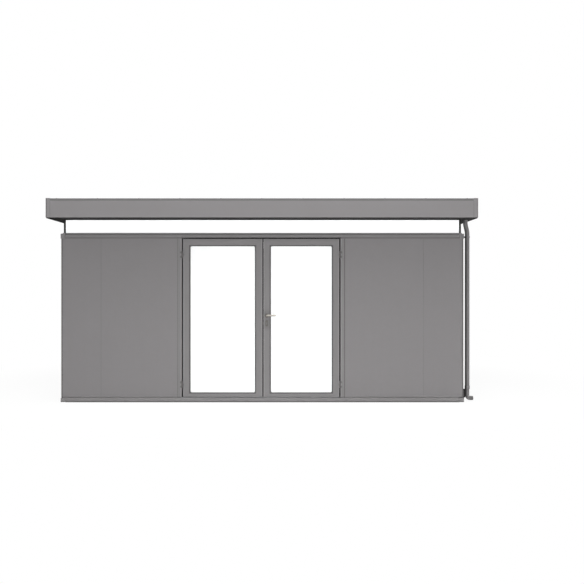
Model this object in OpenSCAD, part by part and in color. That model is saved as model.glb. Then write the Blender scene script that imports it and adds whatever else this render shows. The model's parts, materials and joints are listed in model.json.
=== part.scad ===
// Metal garden shed: insulated panel walls on a steel base frame, double glazed doors,
// a glazed band under a flat overhanging roof and a downpipe on the right side.
// Frame: +X to the right as one faces the doors, -Y out through the doors, +Z up.
// The origin is on the ground under the middle of the base frame.

/* [Overall] */
// Length of the base frame, left to right
body_l = 5000; // [4100:10:6200]
// Depth of the base frame, front to back
body_w = 3000; // [2400:10:3700]
// Height from the ground to the top of the fascia
total_h = 2507; // [2080:10:3050]

/* [Base and floor] */
// Height of the base rails
base_h = 53; // [30:1:90]
// Height of the slope along the base rails' lower edge
base_bevel_h = 11; // [4:1:20]
// How far that slope runs back
base_bevel_d = 6; // [2:1:12]
// How far the base rails and ring beams reach in past the wall panels
rail_past = 3; // [3:1:20]
// How far the corner connectors reach in past the rails and beams
corner_past = 1; // [1:1:20]
// How far the corner connectors stand proud of the rails
corner_proud = 2; // [0:0.5:6]
// Radius of the connectors' outer vertical edge
corner_r = 12; // [2:1:20]
// Clearance under the base corner connectors
corner_lift = 4; // [0:1:10]
// Thickness of the floor panel
floor_t = 21; // [15:1:40]
// Gap around the edge of the floor panel
floor_gap = 1; // [1:1:5]
// How far the floor panel stands above the base rails
floor_rise = 4; // [0:1:10]
// Spacing of the joists under the floor
joist_pitch = 600; // [300:10:900]
// Width of a joist
joist_w = 50; // [30:1:80]

/* [Walls] */
// Thickness of the insulated wall panels
wall_t = 45; // [35:1:60]
// Width of a full wall panel
panel_w = 1000; // [600:10:1250]
// Gap between neighbouring panels
panel_gap = 2; // [1:0.5:4]
// How far the panel faces sit behind the frame faces
wall_setback = 8; // [2:1:12]
// Height of the track that the panels stand in
track_h = 13; // [8:1:40]
// How far the track sits behind the frame faces
track_setback = 16; // [4:1:30]
// Width of the corner posts on the front and back
corner_post_w = 20; // [12:1:40]
// Radius of the posts' outer vertical edge
corner_post_r = 4; // [2:1:11]
// Width of the strips that cover the panel joints inside
strip_w = 40; // [20:1:80]
// Thickness of those strips
strip_t = 3; // [1.5:0.5:6]

/* [Doorway] */
// Offset of the doorway's middle from the shed's middle
door_offset = -15; // [-400:1:400]
// Width of the left leaf
left_leaf_w = 986; // [700:1:1200]
// Width of the right leaf
right_leaf_w = 941; // [700:1:1200]
// Width of a jamb
jamb_w = 51; // [40:1:90]
// Depth of a jamb
jamb_d = 69; // [66:1:100]
// How far the jamb faces sit behind the frame faces
jamb_setback = 8; // [4:1:12]
// Gap between a jamb and its leaf
jamb_gap = 15; // [12:1:20]
// Gap between the two leaves
centre_gap = 12; // [10:1:20]
// Gap over the leaves
head_gap = 16; // [8:1:25]
// Height of the sloped caps between the walls and the ring beam
cap_h = 14; // [8:1:18]
// Gap between the threshold and the leaves
sill_gap = 8; // [6:1:20]
// Gap between a closed leaf and the door stops
stop_gap = 6; // [5:1:10]
// Thickness of the door stops
stop_t = 16; // [8:1:30]
// How far the stops reach in from the jambs and down from the beam
stop_reach = 38; // [25:1:50]

/* [Door leaves] */
// Thickness of a leaf
leaf_t = 45; // [35:1:60]
// Width of the stile on the hinge side
hinge_stile_w = 76; // [50:1:120]
// Width of the stile where the leaves meet
meet_stile_w = 77; // [60:1:120]
// Height of the top rail
top_rail_h = 76; // [50:1:150]
// Height of the bottom rail
bottom_rail_h = 40; // [30:1:200]
// Width of the glazing bead
bead_w = 15; // [8:1:30]
// How far the beads sit behind the leaf faces
bead_recess = 3; // [1:0.5:6]
// Thickness of the panes in the doors
pane_t = 14; // [6:1:24]
// How far the panes reach in under the beads
pane_bite = 10; // [5:1:14]

/* [Hinges] */
// Height of a hinge
hinge_h = 82; // [60:1:150]
// Height of the lower hinges above the ground
low_hinge_z = 180; // [120:1:400]
// Drop of the upper hinges' tops below the ring beam
high_hinge_drop = 157; // [100:1:400]
// Radius of the hinge barrel
barrel_r = 9; // [6:0.5:10]
// Radius of the hinge pin
hinge_pin_r = 4; // [2.5:0.25:5]
// How far the pin axis stands in front of the leaf faces
hinge_stand = 12; // [10:0.5:16]
// Width of the hinge plates
hinge_plate_w = 30; // [20:1:45]
// Thickness of the hinge plates
hinge_plate_t = 8; // [4:0.5:8]
// Gap along the pin between two knuckles
knuckle_gap = 0.6; // [0.3:0.1:1.5]

/* [Lever and lock] */
// Height of the lever above the ground
lever_z = 1074; // [900:1:1200]
// Distance of the spindle and the lock from the leaf's free edge
backset = 41; // [30:1:48]
// Length of the lever past the spindle's axis
lever_l = 115; // [90:1:140]
// Thickness of the lever seen from the front
lever_h = 21; // [14:1:26]
// Depth of the lever's grip
lever_d = 16; // [10:1:24]
// Distance from the leaf face to the middle of the grip
lever_stand = 48; // [38:1:70]
// Radius of the round plate behind the lever
rose_r = 26; // [20:1:32]
// Thickness of the round plate
rose_t = 8; // [4:1:12]
// Radius of the lever's neck
neck_r = 9; // [7:0.5:11]
// Radius of the spindle
spindle_r = 4; // [3:0.25:5]
// Drop from the lever to the middle of the key plate
key_drop = 95; // [70:1:120]
// Width of the key plate
key_plate_w = 34; // [26:1:45]
// Height of the key plate
key_plate_h = 80; // [50:1:100]
// Thickness of the key plate
key_plate_t = 7; // [3:1:12]
// Radius of the lock cylinder in the key plate
key_core_r = 8; // [6:0.5:10]

/* [Beam and glazed band] */
// Height of the ring beam and the wall caps together
beam_h = 70; // [50:1:120]
// Height of the beam's sloped top edge
beam_top_bevel = 24; // [5:1:30]
// Height of the slope along their lower edge
beam_low_bevel = 21; // [20:1:30]
// Height of the glazed band, beam to soffit
band_h = 175; // [100:1:300]
// Thickness of the glass in the band
band_pane_t = 10; // [4:1:20]
// How far the band's posts sit behind the frame faces
band_setback = 29; // [26:1:45]
// Width of the band's corner posts
band_post_w = 22; // [15:1:50]
// How far the band's glass sits behind its posts
band_pane_setback = 4; // [0:1:8]
// Height of the trim over the glass
band_trim_h = 12; // [5:1:30]
// Depth of the trim over the glass
band_trim_d = 20; // [16:1:40]

/* [Roof] */
// How far the roof reaches past the base frame on every side
overhang = 130; // [100:1:300]
// Height of the fascia
fascia_h = 233; // [150:1:350]
// Thickness of the fascia
fascia_t = 12; // [6:1:25]
// Height of the stepped-back flashing along the fascia's top
flashing_h = 30; // [10:1:60]
// How far that flashing is stepped back
flashing_step = 3; // [1:0.5:5]
// Height of the slope under the fascia
drip_h = 10; // [4:1:30]
// How far the slope under the fascia runs back
drip_d = 6; // [2:1:10]
// Width of the fascia's corner caps
cap_w = 53; // [40:1:90]
// How far the corner caps stand proud of the fascia
cap_proud = 2; // [0.5:0.5:5]
// Radius of the caps' outer vertical edge
cap_r = 8; // [2:1:12]
// Thickness of the soffit and ceiling boards
soffit_t = 12; // [6:1:25]
// Thickness of the roof deck
deck_t = 38; // [20:1:80]
// How far the roof deck lies below the fascia's top
deck_drop = 22; // [10:1:60]
// Distance between the roof's standing seams
seam_pitch = 500; // [300:10:600]
// Width of a seam
seam_w = 18; // [10:1:40]
// How far the seams rise past the fascia's top
seam_rise = 6; // [0:1:20]

/* [Downpipe] */
// Outside diameter of the downpipe
pipe_d = 56; // [50:1:80]
// Wall thickness of the downpipe
pipe_wall = 2; // [1:0.5:4]
// Distance from the base frame's right face to the pipe's axis
pipe_stand = 80; // [60:1:95]
// Sideways shift of the swan neck between the soffit and the pipe
neck_shift = 24; // [0:1:30]
// Distance of the pipe's axis behind the base frame's front face
pipe_back = 130; // [80:1:400]
// Drop of the swan neck's upper bend below the soffit
neck_top_drop = 45; // [40:1:60]
// Drop of the swan neck's lower bend below the soffit
neck_low_drop = 140; // [110:1:160]
// Height of the axis of the shoe's outlet above the ground
shoe_z = 36; // [33:1:80]
// Reach of the shoe's outlet past the pipe's axis
shoe_reach = 73; // [60:1:120]
// Radius of the shoe's bend, at its axis
shoe_bend = 42; // [40:1:55]
// Height of the lower end of the pipe
pipe_low_z = 165; // [120:1:300]
// Height of the collar on top of the shoe
collar_h = 40; // [20:1:60]
// How far the collar stands proud of the pipe
collar_proud = 3; // [2.5:0.5:6]
// Height of the upper pipe bracket
bracket_h = 18; // [12:1:40]
// Depth of the brackets' arms
bracket_d = 20; // [10:1:40]
// How far the upper bracket's ring stands proud of the pipe
bracket_ring = 4; // [2:0.5:8]
// Height of the holder between the wall and the shoe
holder_h = 88; // [30:1:88]

/* [Hidden] */
$fn = 48;

wall_grey = [0.53, 0.52, 0.52];
trim_grey = [0.44, 0.43, 0.43];
dark_grey = [0.22, 0.22, 0.22];
pane_white = [0.95, 0.96, 0.96];
steel = [0.78, 0.77, 0.74];

run_gap = 0.05;                // radial clearance of a pin in its hole
plate_gap = 0.5;               // between the turning neck and its fixed plate
seat_gap = 0.3;                // between two pieces that are fitted end to end
min_panel = 100;               // narrowest panel that is worth cutting
half_l = body_l / 2;
half_w = body_w / 2;
rail_d = wall_setback + wall_t + rail_past;
corner_w = corner_proud + rail_d + corner_past;

// heights, from the ground up
track_z = base_h + track_h;
soffit_z = total_h - fascia_h;
beam_z1 = soffit_z - band_h;
beam_z0 = beam_z1 - beam_h;
floor_z = base_h + floor_rise;
leaf_z0 = floor_z + sill_gap;
head_z = beam_z0 + cap_h;
leaf_z1 = head_z - head_gap;
leaf_h = leaf_z1 - leaf_z0;
deck_z = total_h - deck_drop;
high_hinge_z = beam_z0 - high_hinge_drop - hinge_h;

// depths at the front, as distances from the middle
wall_out = half_w - wall_setback;
wall_in = wall_out - wall_t;
wall_in_l = half_l - wall_setback - wall_t;
wall_end = half_l - wall_setback - corner_post_w;
leaf_face = -wall_out;
leaf_back = leaf_face + leaf_t;
jamb_face = -(half_w - jamb_setback);
jamb_back = jamb_face + jamb_d;
hinge_y = leaf_face - hinge_stand;
band_l = half_l - band_setback;
band_w = half_w - band_setback;

// the doorway from left to right
door_clear = left_leaf_w + centre_gap + right_leaf_w + 2 * jamb_gap;
door_x0 = door_offset - door_clear / 2;
door_x1 = door_offset + door_clear / 2;
jamb_x0 = door_x0 - jamb_w;
jamb_x1 = door_x1 + jamb_w;
left_leaf_x = door_x0 + jamb_gap;
right_leaf_x = door_x1 - jamb_gap;
lock_x = right_leaf_x - right_leaf_w + backset;

// the roof
roof_l = half_l + overhang;
roof_w = half_w + overhang;
roof_in_l = roof_l - fascia_t;
roof_in_w = roof_w - fascia_t;

// the downpipe
pipe_x = half_l + pipe_stand;
pipe_y = -half_w + pipe_back;
neck_x = pipe_x - neck_shift;
neck_z1 = soffit_z - neck_top_drop;
neck_z0 = soffit_z - neck_low_drop;
pipe_r = pipe_d / 2;

// A box from its lowest corner to its highest
module block(lo, hi) {
    translate(lo)
        cube(hi - lo);
}

// The long axis of the child along X becomes that of each side in turn: front, right, back, left.
// The child reads $half, half the side's length, and $face, the side's distance from the middle.
module on_sides(list = [0, 1, 2, 3]) {
    for (side = list) {
        $half = side % 2 == 0 ? half_l : half_w;
        $face = side % 2 == 0 ? half_w : half_l;
        rotate([0, 0, 90 * side])
            children();
    }
}

// Mirrors a child made in the right back quarter into all four corners
module in_corners() {
    for (sx = [0, 1], sy = [0, 1])
        mirror([sx, 0, 0])
            mirror([0, sy, 0])
                children();
}

// A profile drawn as [y, z] and run along X
module run_x(x0, x1) {
    translate([x0, 0, 0])
        rotate([90, 0, 90])
            linear_extrude(x1 - x0)
                children();
}

// A corner piece w wide and d deep whose outer vertical edge is rounded; x1 and y1 are its outer faces
module rounded_corner(x1, y1, w, d, r, z0, z1) {
    translate([x1 - w, y1 - d, z0])
        linear_extrude(z1 - z0)
            union() {
                square([w - r, d]);
                square([w, d - r]);
                translate([w - r, d - r])
                    circle(r);
            }
}

// Panel joints between two ends, on the common panel grid from the middle of the wall
function joints(lo, hi) = [
    for (k = [floor(lo / panel_w):ceil(hi / panel_w)])
        if (k * panel_w > lo + min_panel && k * panel_w < hi - min_panel) k * panel_w
];

// A run of wall panels along X with its outer face at y = -face
module wall_run(lo, hi, face) {
    cuts = joints(lo, hi);
    starts = concat([lo], [for (c = cuts) c + panel_gap / 2]);
    ends = concat([for (c = cuts) c - panel_gap / 2], [hi]);
    for (i = [0:len(starts) - 1])
        block([starts[i], -face, track_z], [ends[i], -face + wall_t, beam_z0]);
}

module strip_run(lo, hi, face) {
    for (x = joints(lo, hi))
        block([x - strip_w / 2, -face + wall_t, track_z],
              [x + strip_w / 2, -face + wall_t + strip_t, beam_z0]);
}

// ---- base and floor ----

module base_rails() {
    color(wall_grey)
        on_sides() {
            end = $half + corner_proud - corner_w;
            run_x(-end, end)
                polygon([
                    [-$face + base_bevel_d, 0],
                    [-$face, base_bevel_h],
                    [-$face, base_h],
                    [-$face + rail_d, base_h],
                    [-$face + rail_d, 0]
                ]);
        }
}

module base_corners() {
    color(wall_grey)
        in_corners()
            rounded_corner(half_l + corner_proud, half_w + corner_proud, corner_w, corner_w,
                           corner_r, corner_lift, base_h);
}

module floor_joists() {
    color(trim_grey)
        for (k = [-floor(wall_in_l / joist_pitch):floor(wall_in_l / joist_pitch)])
            block([k * joist_pitch - joist_w / 2, -half_w + rail_d, 0],
                  [k * joist_pitch + joist_w / 2, half_w - rail_d, floor_z - floor_t]);
}

module floor_panel() {
    edge = corner_w - corner_proud + floor_gap;
    color("tan")
        block([-half_l + edge, -half_w + edge, floor_z - floor_t],
              [half_l - edge, half_w - edge, floor_z]);
}

module track(lo, hi, face) {
    block([lo, -face + track_setback, base_h], [hi, -face + rail_d, track_z]);
}

module wall_tracks() {
    front_end = half_l - rail_d - panel_gap;
    color(dark_grey) {
        track(-front_end, jamb_x0, half_w);
        track(jamb_x1, front_end, half_w);
        on_sides([1, 2, 3]) {
            end = $half - rail_d - panel_gap;
            track(-end, end, $face);
        }
    }
}

module threshold() {
    color(trim_grey)
        block([jamb_x0, jamb_face, base_h], [jamb_x1, -half_w + rail_d, floor_z]);
}

// ---- walls ----

module corner_posts() {
    color(trim_grey)
        in_corners()
            rounded_corner(half_l - wall_setback, wall_out, corner_post_w, wall_t, corner_post_r,
                           base_h, beam_z0);
}

module front_wall_left() {
    color(wall_grey)
        wall_run(-wall_end, jamb_x0 - panel_gap, wall_out);
}

module front_wall_right() {
    color(wall_grey)
        wall_run(jamb_x1 + panel_gap, wall_end, wall_out);
}

module back_wall() {
    color(wall_grey)
        rotate([0, 0, 180])
            wall_run(-wall_end, wall_end, wall_out);
}

module side_wall() {
    wall_run(-wall_in, wall_in, half_l - wall_setback);
}

module left_wall() {
    color(wall_grey)
        rotate([0, 0, -90])
            side_wall();
}

module right_wall() {
    color(wall_grey)
        rotate([0, 0, 90])
            side_wall();
}

module wall_joint_strips() {
    color(pane_white) {
        strip_run(-wall_end, jamb_x0, wall_out);
        strip_run(jamb_x1, wall_end, wall_out);
        rotate([0, 0, 180])
            strip_run(-wall_end, wall_end, wall_out);
        for (turn = [-90, 90])
            rotate([0, 0, turn])
                strip_run(-wall_in, wall_in, half_l - wall_setback);
    }
}

// ---- door frame ----

module left_jamb() {
    color(wall_grey)
        block([jamb_x0, jamb_face, floor_z], [door_x0, jamb_back, beam_z0]);
}

module right_jamb() {
    color(wall_grey)
        block([door_x1, jamb_face, floor_z], [jamb_x1, jamb_back, beam_z0]);
}

module door_stops() {
    y0 = leaf_back + stop_gap;
    y1 = y0 + stop_t;
    low_z = beam_z0 - stop_reach;
    color(trim_grey) {
        block([door_x0, y0, low_z], [door_x1, y1, head_z]);
        block([door_x0, y0, floor_z], [door_x0 + stop_reach, y1, low_z - seat_gap]);
        block([door_x1 - stop_reach, y0, floor_z], [door_x1, y1, low_z - seat_gap]);
    }
}

// ---- hinges, made at a left leaf: the pin axis is at x = 0, the jamb at -X, the leaf at +X ----

knuckle_h = (hinge_h - 2 * knuckle_gap) / 3;

module jamb_hinge() {
    cylinder(h = hinge_h, r = hinge_pin_r);
    for (z = [0, hinge_h - knuckle_h])
        translate([0, 0, z]) {
            cylinder(h = knuckle_h, r = barrel_r);
            block([-hinge_plate_w, jamb_face - hinge_y - hinge_plate_t, 0],
                  [0, jamb_face - hinge_y, knuckle_h]);
        }
}

module leaf_hinge() {
    translate([0, 0, knuckle_h + knuckle_gap])
        difference() {
            union() {
                cylinder(h = knuckle_h, r = barrel_r);
                block([0, hinge_stand - hinge_plate_t, 0], [hinge_plate_w, hinge_stand, knuckle_h]);
            }
            translate([0, 0, -1])
                cylinder(h = knuckle_h + 2, r = hinge_pin_r + run_gap);
        }
}

// Puts a child at the lower and the upper hinge of a leaf
module at_hinges(x) {
    for (z = [low_hinge_z, high_hinge_z])
        translate([x, hinge_y, z])
            children();
}

module jamb_hinges() {
    color(steel) {
        at_hinges(door_x0 + jamb_gap / 2)
            jamb_hinge();
        at_hinges(door_x1 - jamb_gap / 2)
            mirror([1, 0, 0])
                jamb_hinge();
    }
}

// ---- ring beam and glazed band ----

// How far the slope has come forward where the caps meet the beam
cap_slope = wall_setback * cap_h / beam_low_bevel;

module cap_run(lo, hi, face) {
    run_x(lo, hi)
        polygon([
            [-face + wall_setback, beam_z0],
            [-face + wall_setback - cap_slope, head_z],
            [-face + rail_d, head_z],
            [-face + rail_d, beam_z0]
        ]);
}

module wall_caps() {
    front_end = half_l + corner_proud - corner_w;
    color(trim_grey) {
        cap_run(-front_end, door_x0, half_w);
        cap_run(door_x1, front_end, half_w);
        on_sides([1, 2, 3]) {
            end = $half + corner_proud - corner_w;
            cap_run(-end, end, $face);
        }
    }
}

module ring_beams() {
    color(trim_grey)
        on_sides() {
            end = $half + corner_proud - corner_w;
            run_x(-end, end)
                polygon([
                    [-$face + wall_setback - cap_slope, head_z],
                    [-$face, beam_z0 + beam_low_bevel],
                    [-$face, beam_z1 - beam_top_bevel],
                    [-$face + wall_setback, beam_z1],
                    [-$face + rail_d, beam_z1],
                    [-$face + rail_d, head_z]
                ]);
        }
}

module ring_beam_corners() {
    color(trim_grey)
        in_corners()
            rounded_corner(half_l + corner_proud, half_w + corner_proud, corner_w, corner_w,
                           corner_r, beam_z0, beam_z1);
}

module band_posts() {
    color(dark_grey)
        in_corners()
            block([band_l - band_post_w, band_w - band_post_w, beam_z1], [band_l, band_w, soffit_z]);
}

module band_panes() {
    color(pane_white)
        on_sides() {
            end = $half - band_setback - band_post_w;
            y = -$face + band_setback + band_pane_setback;
            block([-end, y, beam_z1], [end, y + band_pane_t, soffit_z - band_trim_h]);
        }
}

module band_trims() {
    color(dark_grey)
        on_sides() {
            end = $half - band_setback - band_post_w;
            y = -$face + band_setback;
            block([-end, y, soffit_z - band_trim_h], [end, y + band_trim_d, soffit_z]);
        }
}

// ---- roof ----

module soffit() {
    in_l = half_l - rail_d;
    in_w = half_w - rail_d;
    color(dark_grey)
        for (turn = [0, 180])
            rotate([0, 0, turn]) {
                block([-roof_in_l, -roof_in_w, soffit_z], [roof_in_l, -in_w, soffit_z + soffit_t]);
                block([in_l, -in_w + panel_gap, soffit_z],
                      [roof_in_l, in_w - panel_gap, soffit_z + soffit_t]);
            }
}

module ceiling() {
    color(pane_white)
        block([-half_l + rail_d, -half_w + rail_d, soffit_z],
              [half_l - rail_d, half_w - rail_d, soffit_z + soffit_t]);
}

module fascias() {
    color(wall_grey)
        on_sides() {
            face = -$face - overhang;
            end = $half + overhang + cap_proud - cap_w;
            run_x(-end, end)
                polygon([
                    [face + drip_d, soffit_z],
                    [face, soffit_z + drip_h],
                    [face, total_h - flashing_h],
                    [face + flashing_step, total_h - flashing_h + flashing_step],
                    [face + flashing_step, total_h],
                    [face + fascia_t, total_h],
                    [face + fascia_t, soffit_z]
                ]);
        }
}

module fascia_corners() {
    color(wall_grey)
        in_corners()
            difference() {
                rounded_corner(roof_l + cap_proud, roof_w + cap_proud, cap_w, cap_w, cap_r,
                               soffit_z, total_h);
                block([0, 0, soffit_z - 1], [roof_in_l, roof_in_w, total_h + 1]);
            }
}

module roof_deck() {
    color(trim_grey)
        block([-roof_in_l, -roof_in_w, deck_z - deck_t], [roof_in_l, roof_in_w, deck_z]);
}

module roof_seams() {
    last = floor(roof_in_l / seam_pitch);
    color(wall_grey)
        for (k = [-last:last])
            block([k * seam_pitch - seam_w / 2, -roof_in_w, deck_z],
                  [k * seam_pitch + seam_w / 2, roof_in_w, total_h + seam_rise]);
}

// ---- downpipe ----

// A tube between two points in the XZ plane, with ball ends that close a bend
module neck_run(r) {
    lean = atan2(neck_shift, neck_z1 - neck_z0);
    translate([neck_x, pipe_y, neck_z1])
        cylinder(h = neck_top_drop, r = r);
    translate([neck_x, pipe_y, neck_z1])
        sphere(r);
    translate([pipe_x, pipe_y, neck_z0])
        rotate([0, -lean, 0])
            cylinder(h = norm([neck_shift, neck_z1 - neck_z0]), r = r);
    translate([pipe_x, pipe_y, neck_z0])
        sphere(r);
}

module swan_neck() {
    color(wall_grey)
        difference() {
            union() {
                neck_run(pipe_r);
                translate([pipe_x, pipe_y, neck_z0 - collar_h])
                    cylinder(h = collar_h, r = pipe_r);
            }
            neck_run(pipe_r - pipe_wall);
            translate([pipe_x, pipe_y, neck_z0 - collar_h - 1])
                cylinder(h = collar_h + 1, r = pipe_r - pipe_wall);
        }
}

module downpipe() {
    color(wall_grey)
        translate([pipe_x, pipe_y, pipe_low_z])
            difference() {
                cylinder(h = neck_z0 - collar_h - pipe_low_z, r = pipe_r);
                translate([0, 0, -1])
                    cylinder(h = neck_z0 - collar_h - pipe_low_z + 2, r = pipe_r - pipe_wall);
            }
}

// The bend at the bottom, which throws the water out to the right
module shoe_run(r, extra) {
    bend_z = shoe_z + shoe_bend;
    translate([pipe_x, pipe_y, bend_z])
        cylinder(h = pipe_low_z - bend_z, r = r);
    translate([pipe_x + shoe_bend, pipe_y, bend_z])
        rotate([90, 0, 0])
            rotate_extrude(angle = 90, start = 180)
                translate([shoe_bend, 0])
                    circle(r);
    translate([pipe_x + shoe_bend, pipe_y, shoe_z])
        rotate([0, 90, 0])
            cylinder(h = shoe_reach - shoe_bend + extra, r = r);
}

module downpipe_shoe() {
    color(wall_grey)
        difference() {
            union() {
                shoe_run(pipe_r - pipe_wall, 0);
                translate([pipe_x, pipe_y, pipe_low_z - collar_h / 2])
                    cylinder(h = collar_h, r = pipe_r + collar_proud);
            }
            shoe_run(pipe_r - 2 * pipe_wall, 1);
            translate([pipe_x, pipe_y, pipe_low_z])
                cylinder(h = collar_h, r = pipe_r);
        }
}

// An arm from the shed to the pipe's axis, cut to the pipe
module pipe_arm(from_x, r, z, h) {
    difference() {
        block([from_x, pipe_y - bracket_d / 2, z], [pipe_x, pipe_y + bracket_d / 2, z + h]);
        translate([pipe_x, pipe_y, z - 1])
            cylinder(h = h + 2, r = r);
    }
}

module pipe_brackets() {
    ring_z = beam_z0 + beam_low_bevel;
    color(dark_grey) {
        difference() {
            union() {
                pipe_arm(half_l, pipe_r, ring_z, bracket_h);
                translate([pipe_x, pipe_y, ring_z])
                    cylinder(h = bracket_h, r = pipe_r + bracket_ring);
            }
            translate([pipe_x, pipe_y, ring_z - 1])
                cylinder(h = bracket_h + 2, r = pipe_r);
        }
        pipe_arm(half_l - wall_setback, pipe_r - pipe_wall,
                 pipe_low_z - collar_h / 2 - seat_gap - holder_h, holder_h);
    }
}

// ---- door leaves, made from the hinge edge: x = 0 at the hinge, the free edge at +X ----

module leaf_stiles(w) {
    block([0, leaf_face, leaf_z0], [hinge_stile_w, leaf_back, leaf_z1]);
    block([w - meet_stile_w, leaf_face, leaf_z0], [w, leaf_back, leaf_z1]);
}

module leaf_rails(w) {
    x0 = hinge_stile_w;
    x1 = w - meet_stile_w;
    block([x0, leaf_face, leaf_z1 - top_rail_h], [x1, leaf_back, leaf_z1]);
    block([x0, leaf_face, leaf_z0], [x1, leaf_back, leaf_z0 + bottom_rail_h]);
}

module leaf_pane(w) {
    edge = bead_w - pane_bite;
    y = (leaf_face + leaf_back - pane_t) / 2;
    block([hinge_stile_w + edge, y, leaf_z0 + bottom_rail_h + edge],
          [w - meet_stile_w - edge, y + pane_t, leaf_z1 - top_rail_h - edge]);
}

// Four strips of bead in front of the pane and four behind it
module leaf_beads(w) {
    x0 = hinge_stile_w;
    x1 = w - meet_stile_w;
    z0 = leaf_z0 + bottom_rail_h;
    z1 = leaf_z1 - top_rail_h;
    pane_y = (leaf_face + leaf_back - pane_t) / 2;
    for (y = [[leaf_face + bead_recess, pane_y], [pane_y + pane_t, leaf_back - bead_recess]]) {
        for (x = [x0, x1 - bead_w])
            block([x, y[0], z0], [x + bead_w, y[1], z1]);
        for (z = [z0, z1 - bead_w])
            block([x0 + bead_w + seat_gap, y[0], z],
                  [x1 - bead_w - seat_gap, y[1], z + bead_w]);
    }
}

module on_left_leaf() {
    translate([left_leaf_x, 0, 0])
        children();
}

module on_right_leaf() {
    translate([right_leaf_x, 0, 0])
        mirror([1, 0, 0])
            children();
}

module left_door_stiles() {
    color(wall_grey)
        on_left_leaf()
            leaf_stiles(left_leaf_w);
}

module left_door_rails() {
    color(wall_grey)
        on_left_leaf()
            leaf_rails(left_leaf_w);
}

module left_door_beads() {
    color(trim_grey)
        on_left_leaf()
            leaf_beads(left_leaf_w);
}

module left_door_pane() {
    color(pane_white)
        on_left_leaf()
            leaf_pane(left_leaf_w);
}

module left_door_hinges() {
    color(steel)
        at_hinges(left_leaf_x - jamb_gap / 2)
            leaf_hinge();
}

module right_door_stiles() {
    color(wall_grey)
        difference() {
            on_right_leaf()
                leaf_stiles(right_leaf_w);
            translate([lock_x, 0, lever_z])
                rotate([90, 0, 0])
                    cylinder(h = body_w, r = spindle_r + 6);
        }
}

module right_door_rails() {
    color(wall_grey)
        on_right_leaf()
            leaf_rails(right_leaf_w);
}

module right_door_beads() {
    color(trim_grey)
        on_right_leaf()
            leaf_beads(right_leaf_w);
}

module right_door_pane() {
    color(pane_white)
        on_right_leaf()
            leaf_pane(right_leaf_w);
}

module right_door_hinges() {
    color(steel)
        at_hinges(right_leaf_x + jamb_gap / 2)
            mirror([1, 0, 0])
                leaf_hinge();
}

// ---- lock and lever ----

// A child drawn as a plan in XZ, thickened outwards from a leaf face to depth t
module on_face(front, t) {
    translate([lock_x, front ? leaf_face : leaf_back + t, 0])
        rotate([90, 0, 0])
            linear_extrude(t)
                children();
}

module lock_plates() {
    color(steel)
        for (front = [true, false]) {
            on_face(front, rose_t)
                translate([0, lever_z])
                    difference() {
                        circle(rose_r);
                        circle(spindle_r + run_gap);
                    }
            on_face(front, key_plate_t)
                translate([0, lever_z - key_drop]) {
                    half = (key_plate_h - key_plate_w) / 2;
                    square([key_plate_w, 2 * half], center = true);
                    for (s = [-half, half])
                        translate([0, s])
                            circle(key_plate_w / 2);
                }
            on_face(front, key_plate_t + 3)
                translate([0, lever_z - key_drop])
                    circle(key_core_r);
        }
}

module lever_grip(y) {
    translate([lock_x, y + lever_d / 2, lever_z])
        rotate([90, 0, 0]) {
            cylinder(h = lever_d, r = lever_h / 2 + 1);
            translate([lever_l - lever_h / 2, 0, 0])
                cylinder(h = lever_d, r = lever_h / 2);
            translate([0, -lever_h / 2, 0])
                cube([lever_l - lever_h / 2, lever_h, lever_d]);
        }
}

module lever_handles() {
    color(steel) {
        lever_grip(leaf_face - lever_stand);
        lever_grip(leaf_back + lever_stand);
    }
}

module lever_spindle() {
    neck = lever_stand - lever_d / 2 - rose_t - plate_gap;
    color(steel)
        translate([lock_x, leaf_back + lever_stand - lever_d / 2, lever_z])
            rotate([90, 0, 0]) {
                cylinder(h = leaf_t + 2 * lever_stand - lever_d, r = spindle_r);
                cylinder(h = neck, r = neck_r);
                translate([0, 0, leaf_t + 2 * lever_stand - lever_d - neck])
                    cylinder(h = neck, r = neck_r);
            }
}

base_rails();
base_corners();
floor_joists();
floor_panel();
wall_tracks();
threshold();
corner_posts();
front_wall_left();
front_wall_right();
back_wall();
left_wall();
right_wall();
wall_joint_strips();
left_jamb();
right_jamb();
door_stops();
jamb_hinges();
wall_caps();
ring_beams();
ring_beam_corners();
band_posts();
band_panes();
band_trims();
soffit();
ceiling();
fascias();
fascia_corners();
roof_deck();
roof_seams();
swan_neck();
downpipe();
downpipe_shoe();
pipe_brackets();
left_door_stiles();
left_door_rails();
left_door_beads();
left_door_pane();
left_door_hinges();
right_door_stiles();
right_door_rails();
right_door_beads();
right_door_pane();
right_door_hinges();
lock_plates();
lever_handles();
lever_spindle();
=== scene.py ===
"""A metal garden shed: insulated walls, glazed double doors, a light band and a flat roof.

The frame's nodes give every place and size. The operators turn them into folded sheet,
profiles, glass and fittings with their finishes, and the last one sets the stage.
"""

import json
from math import atan2, copysign, cos, pi, radians, sin

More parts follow.
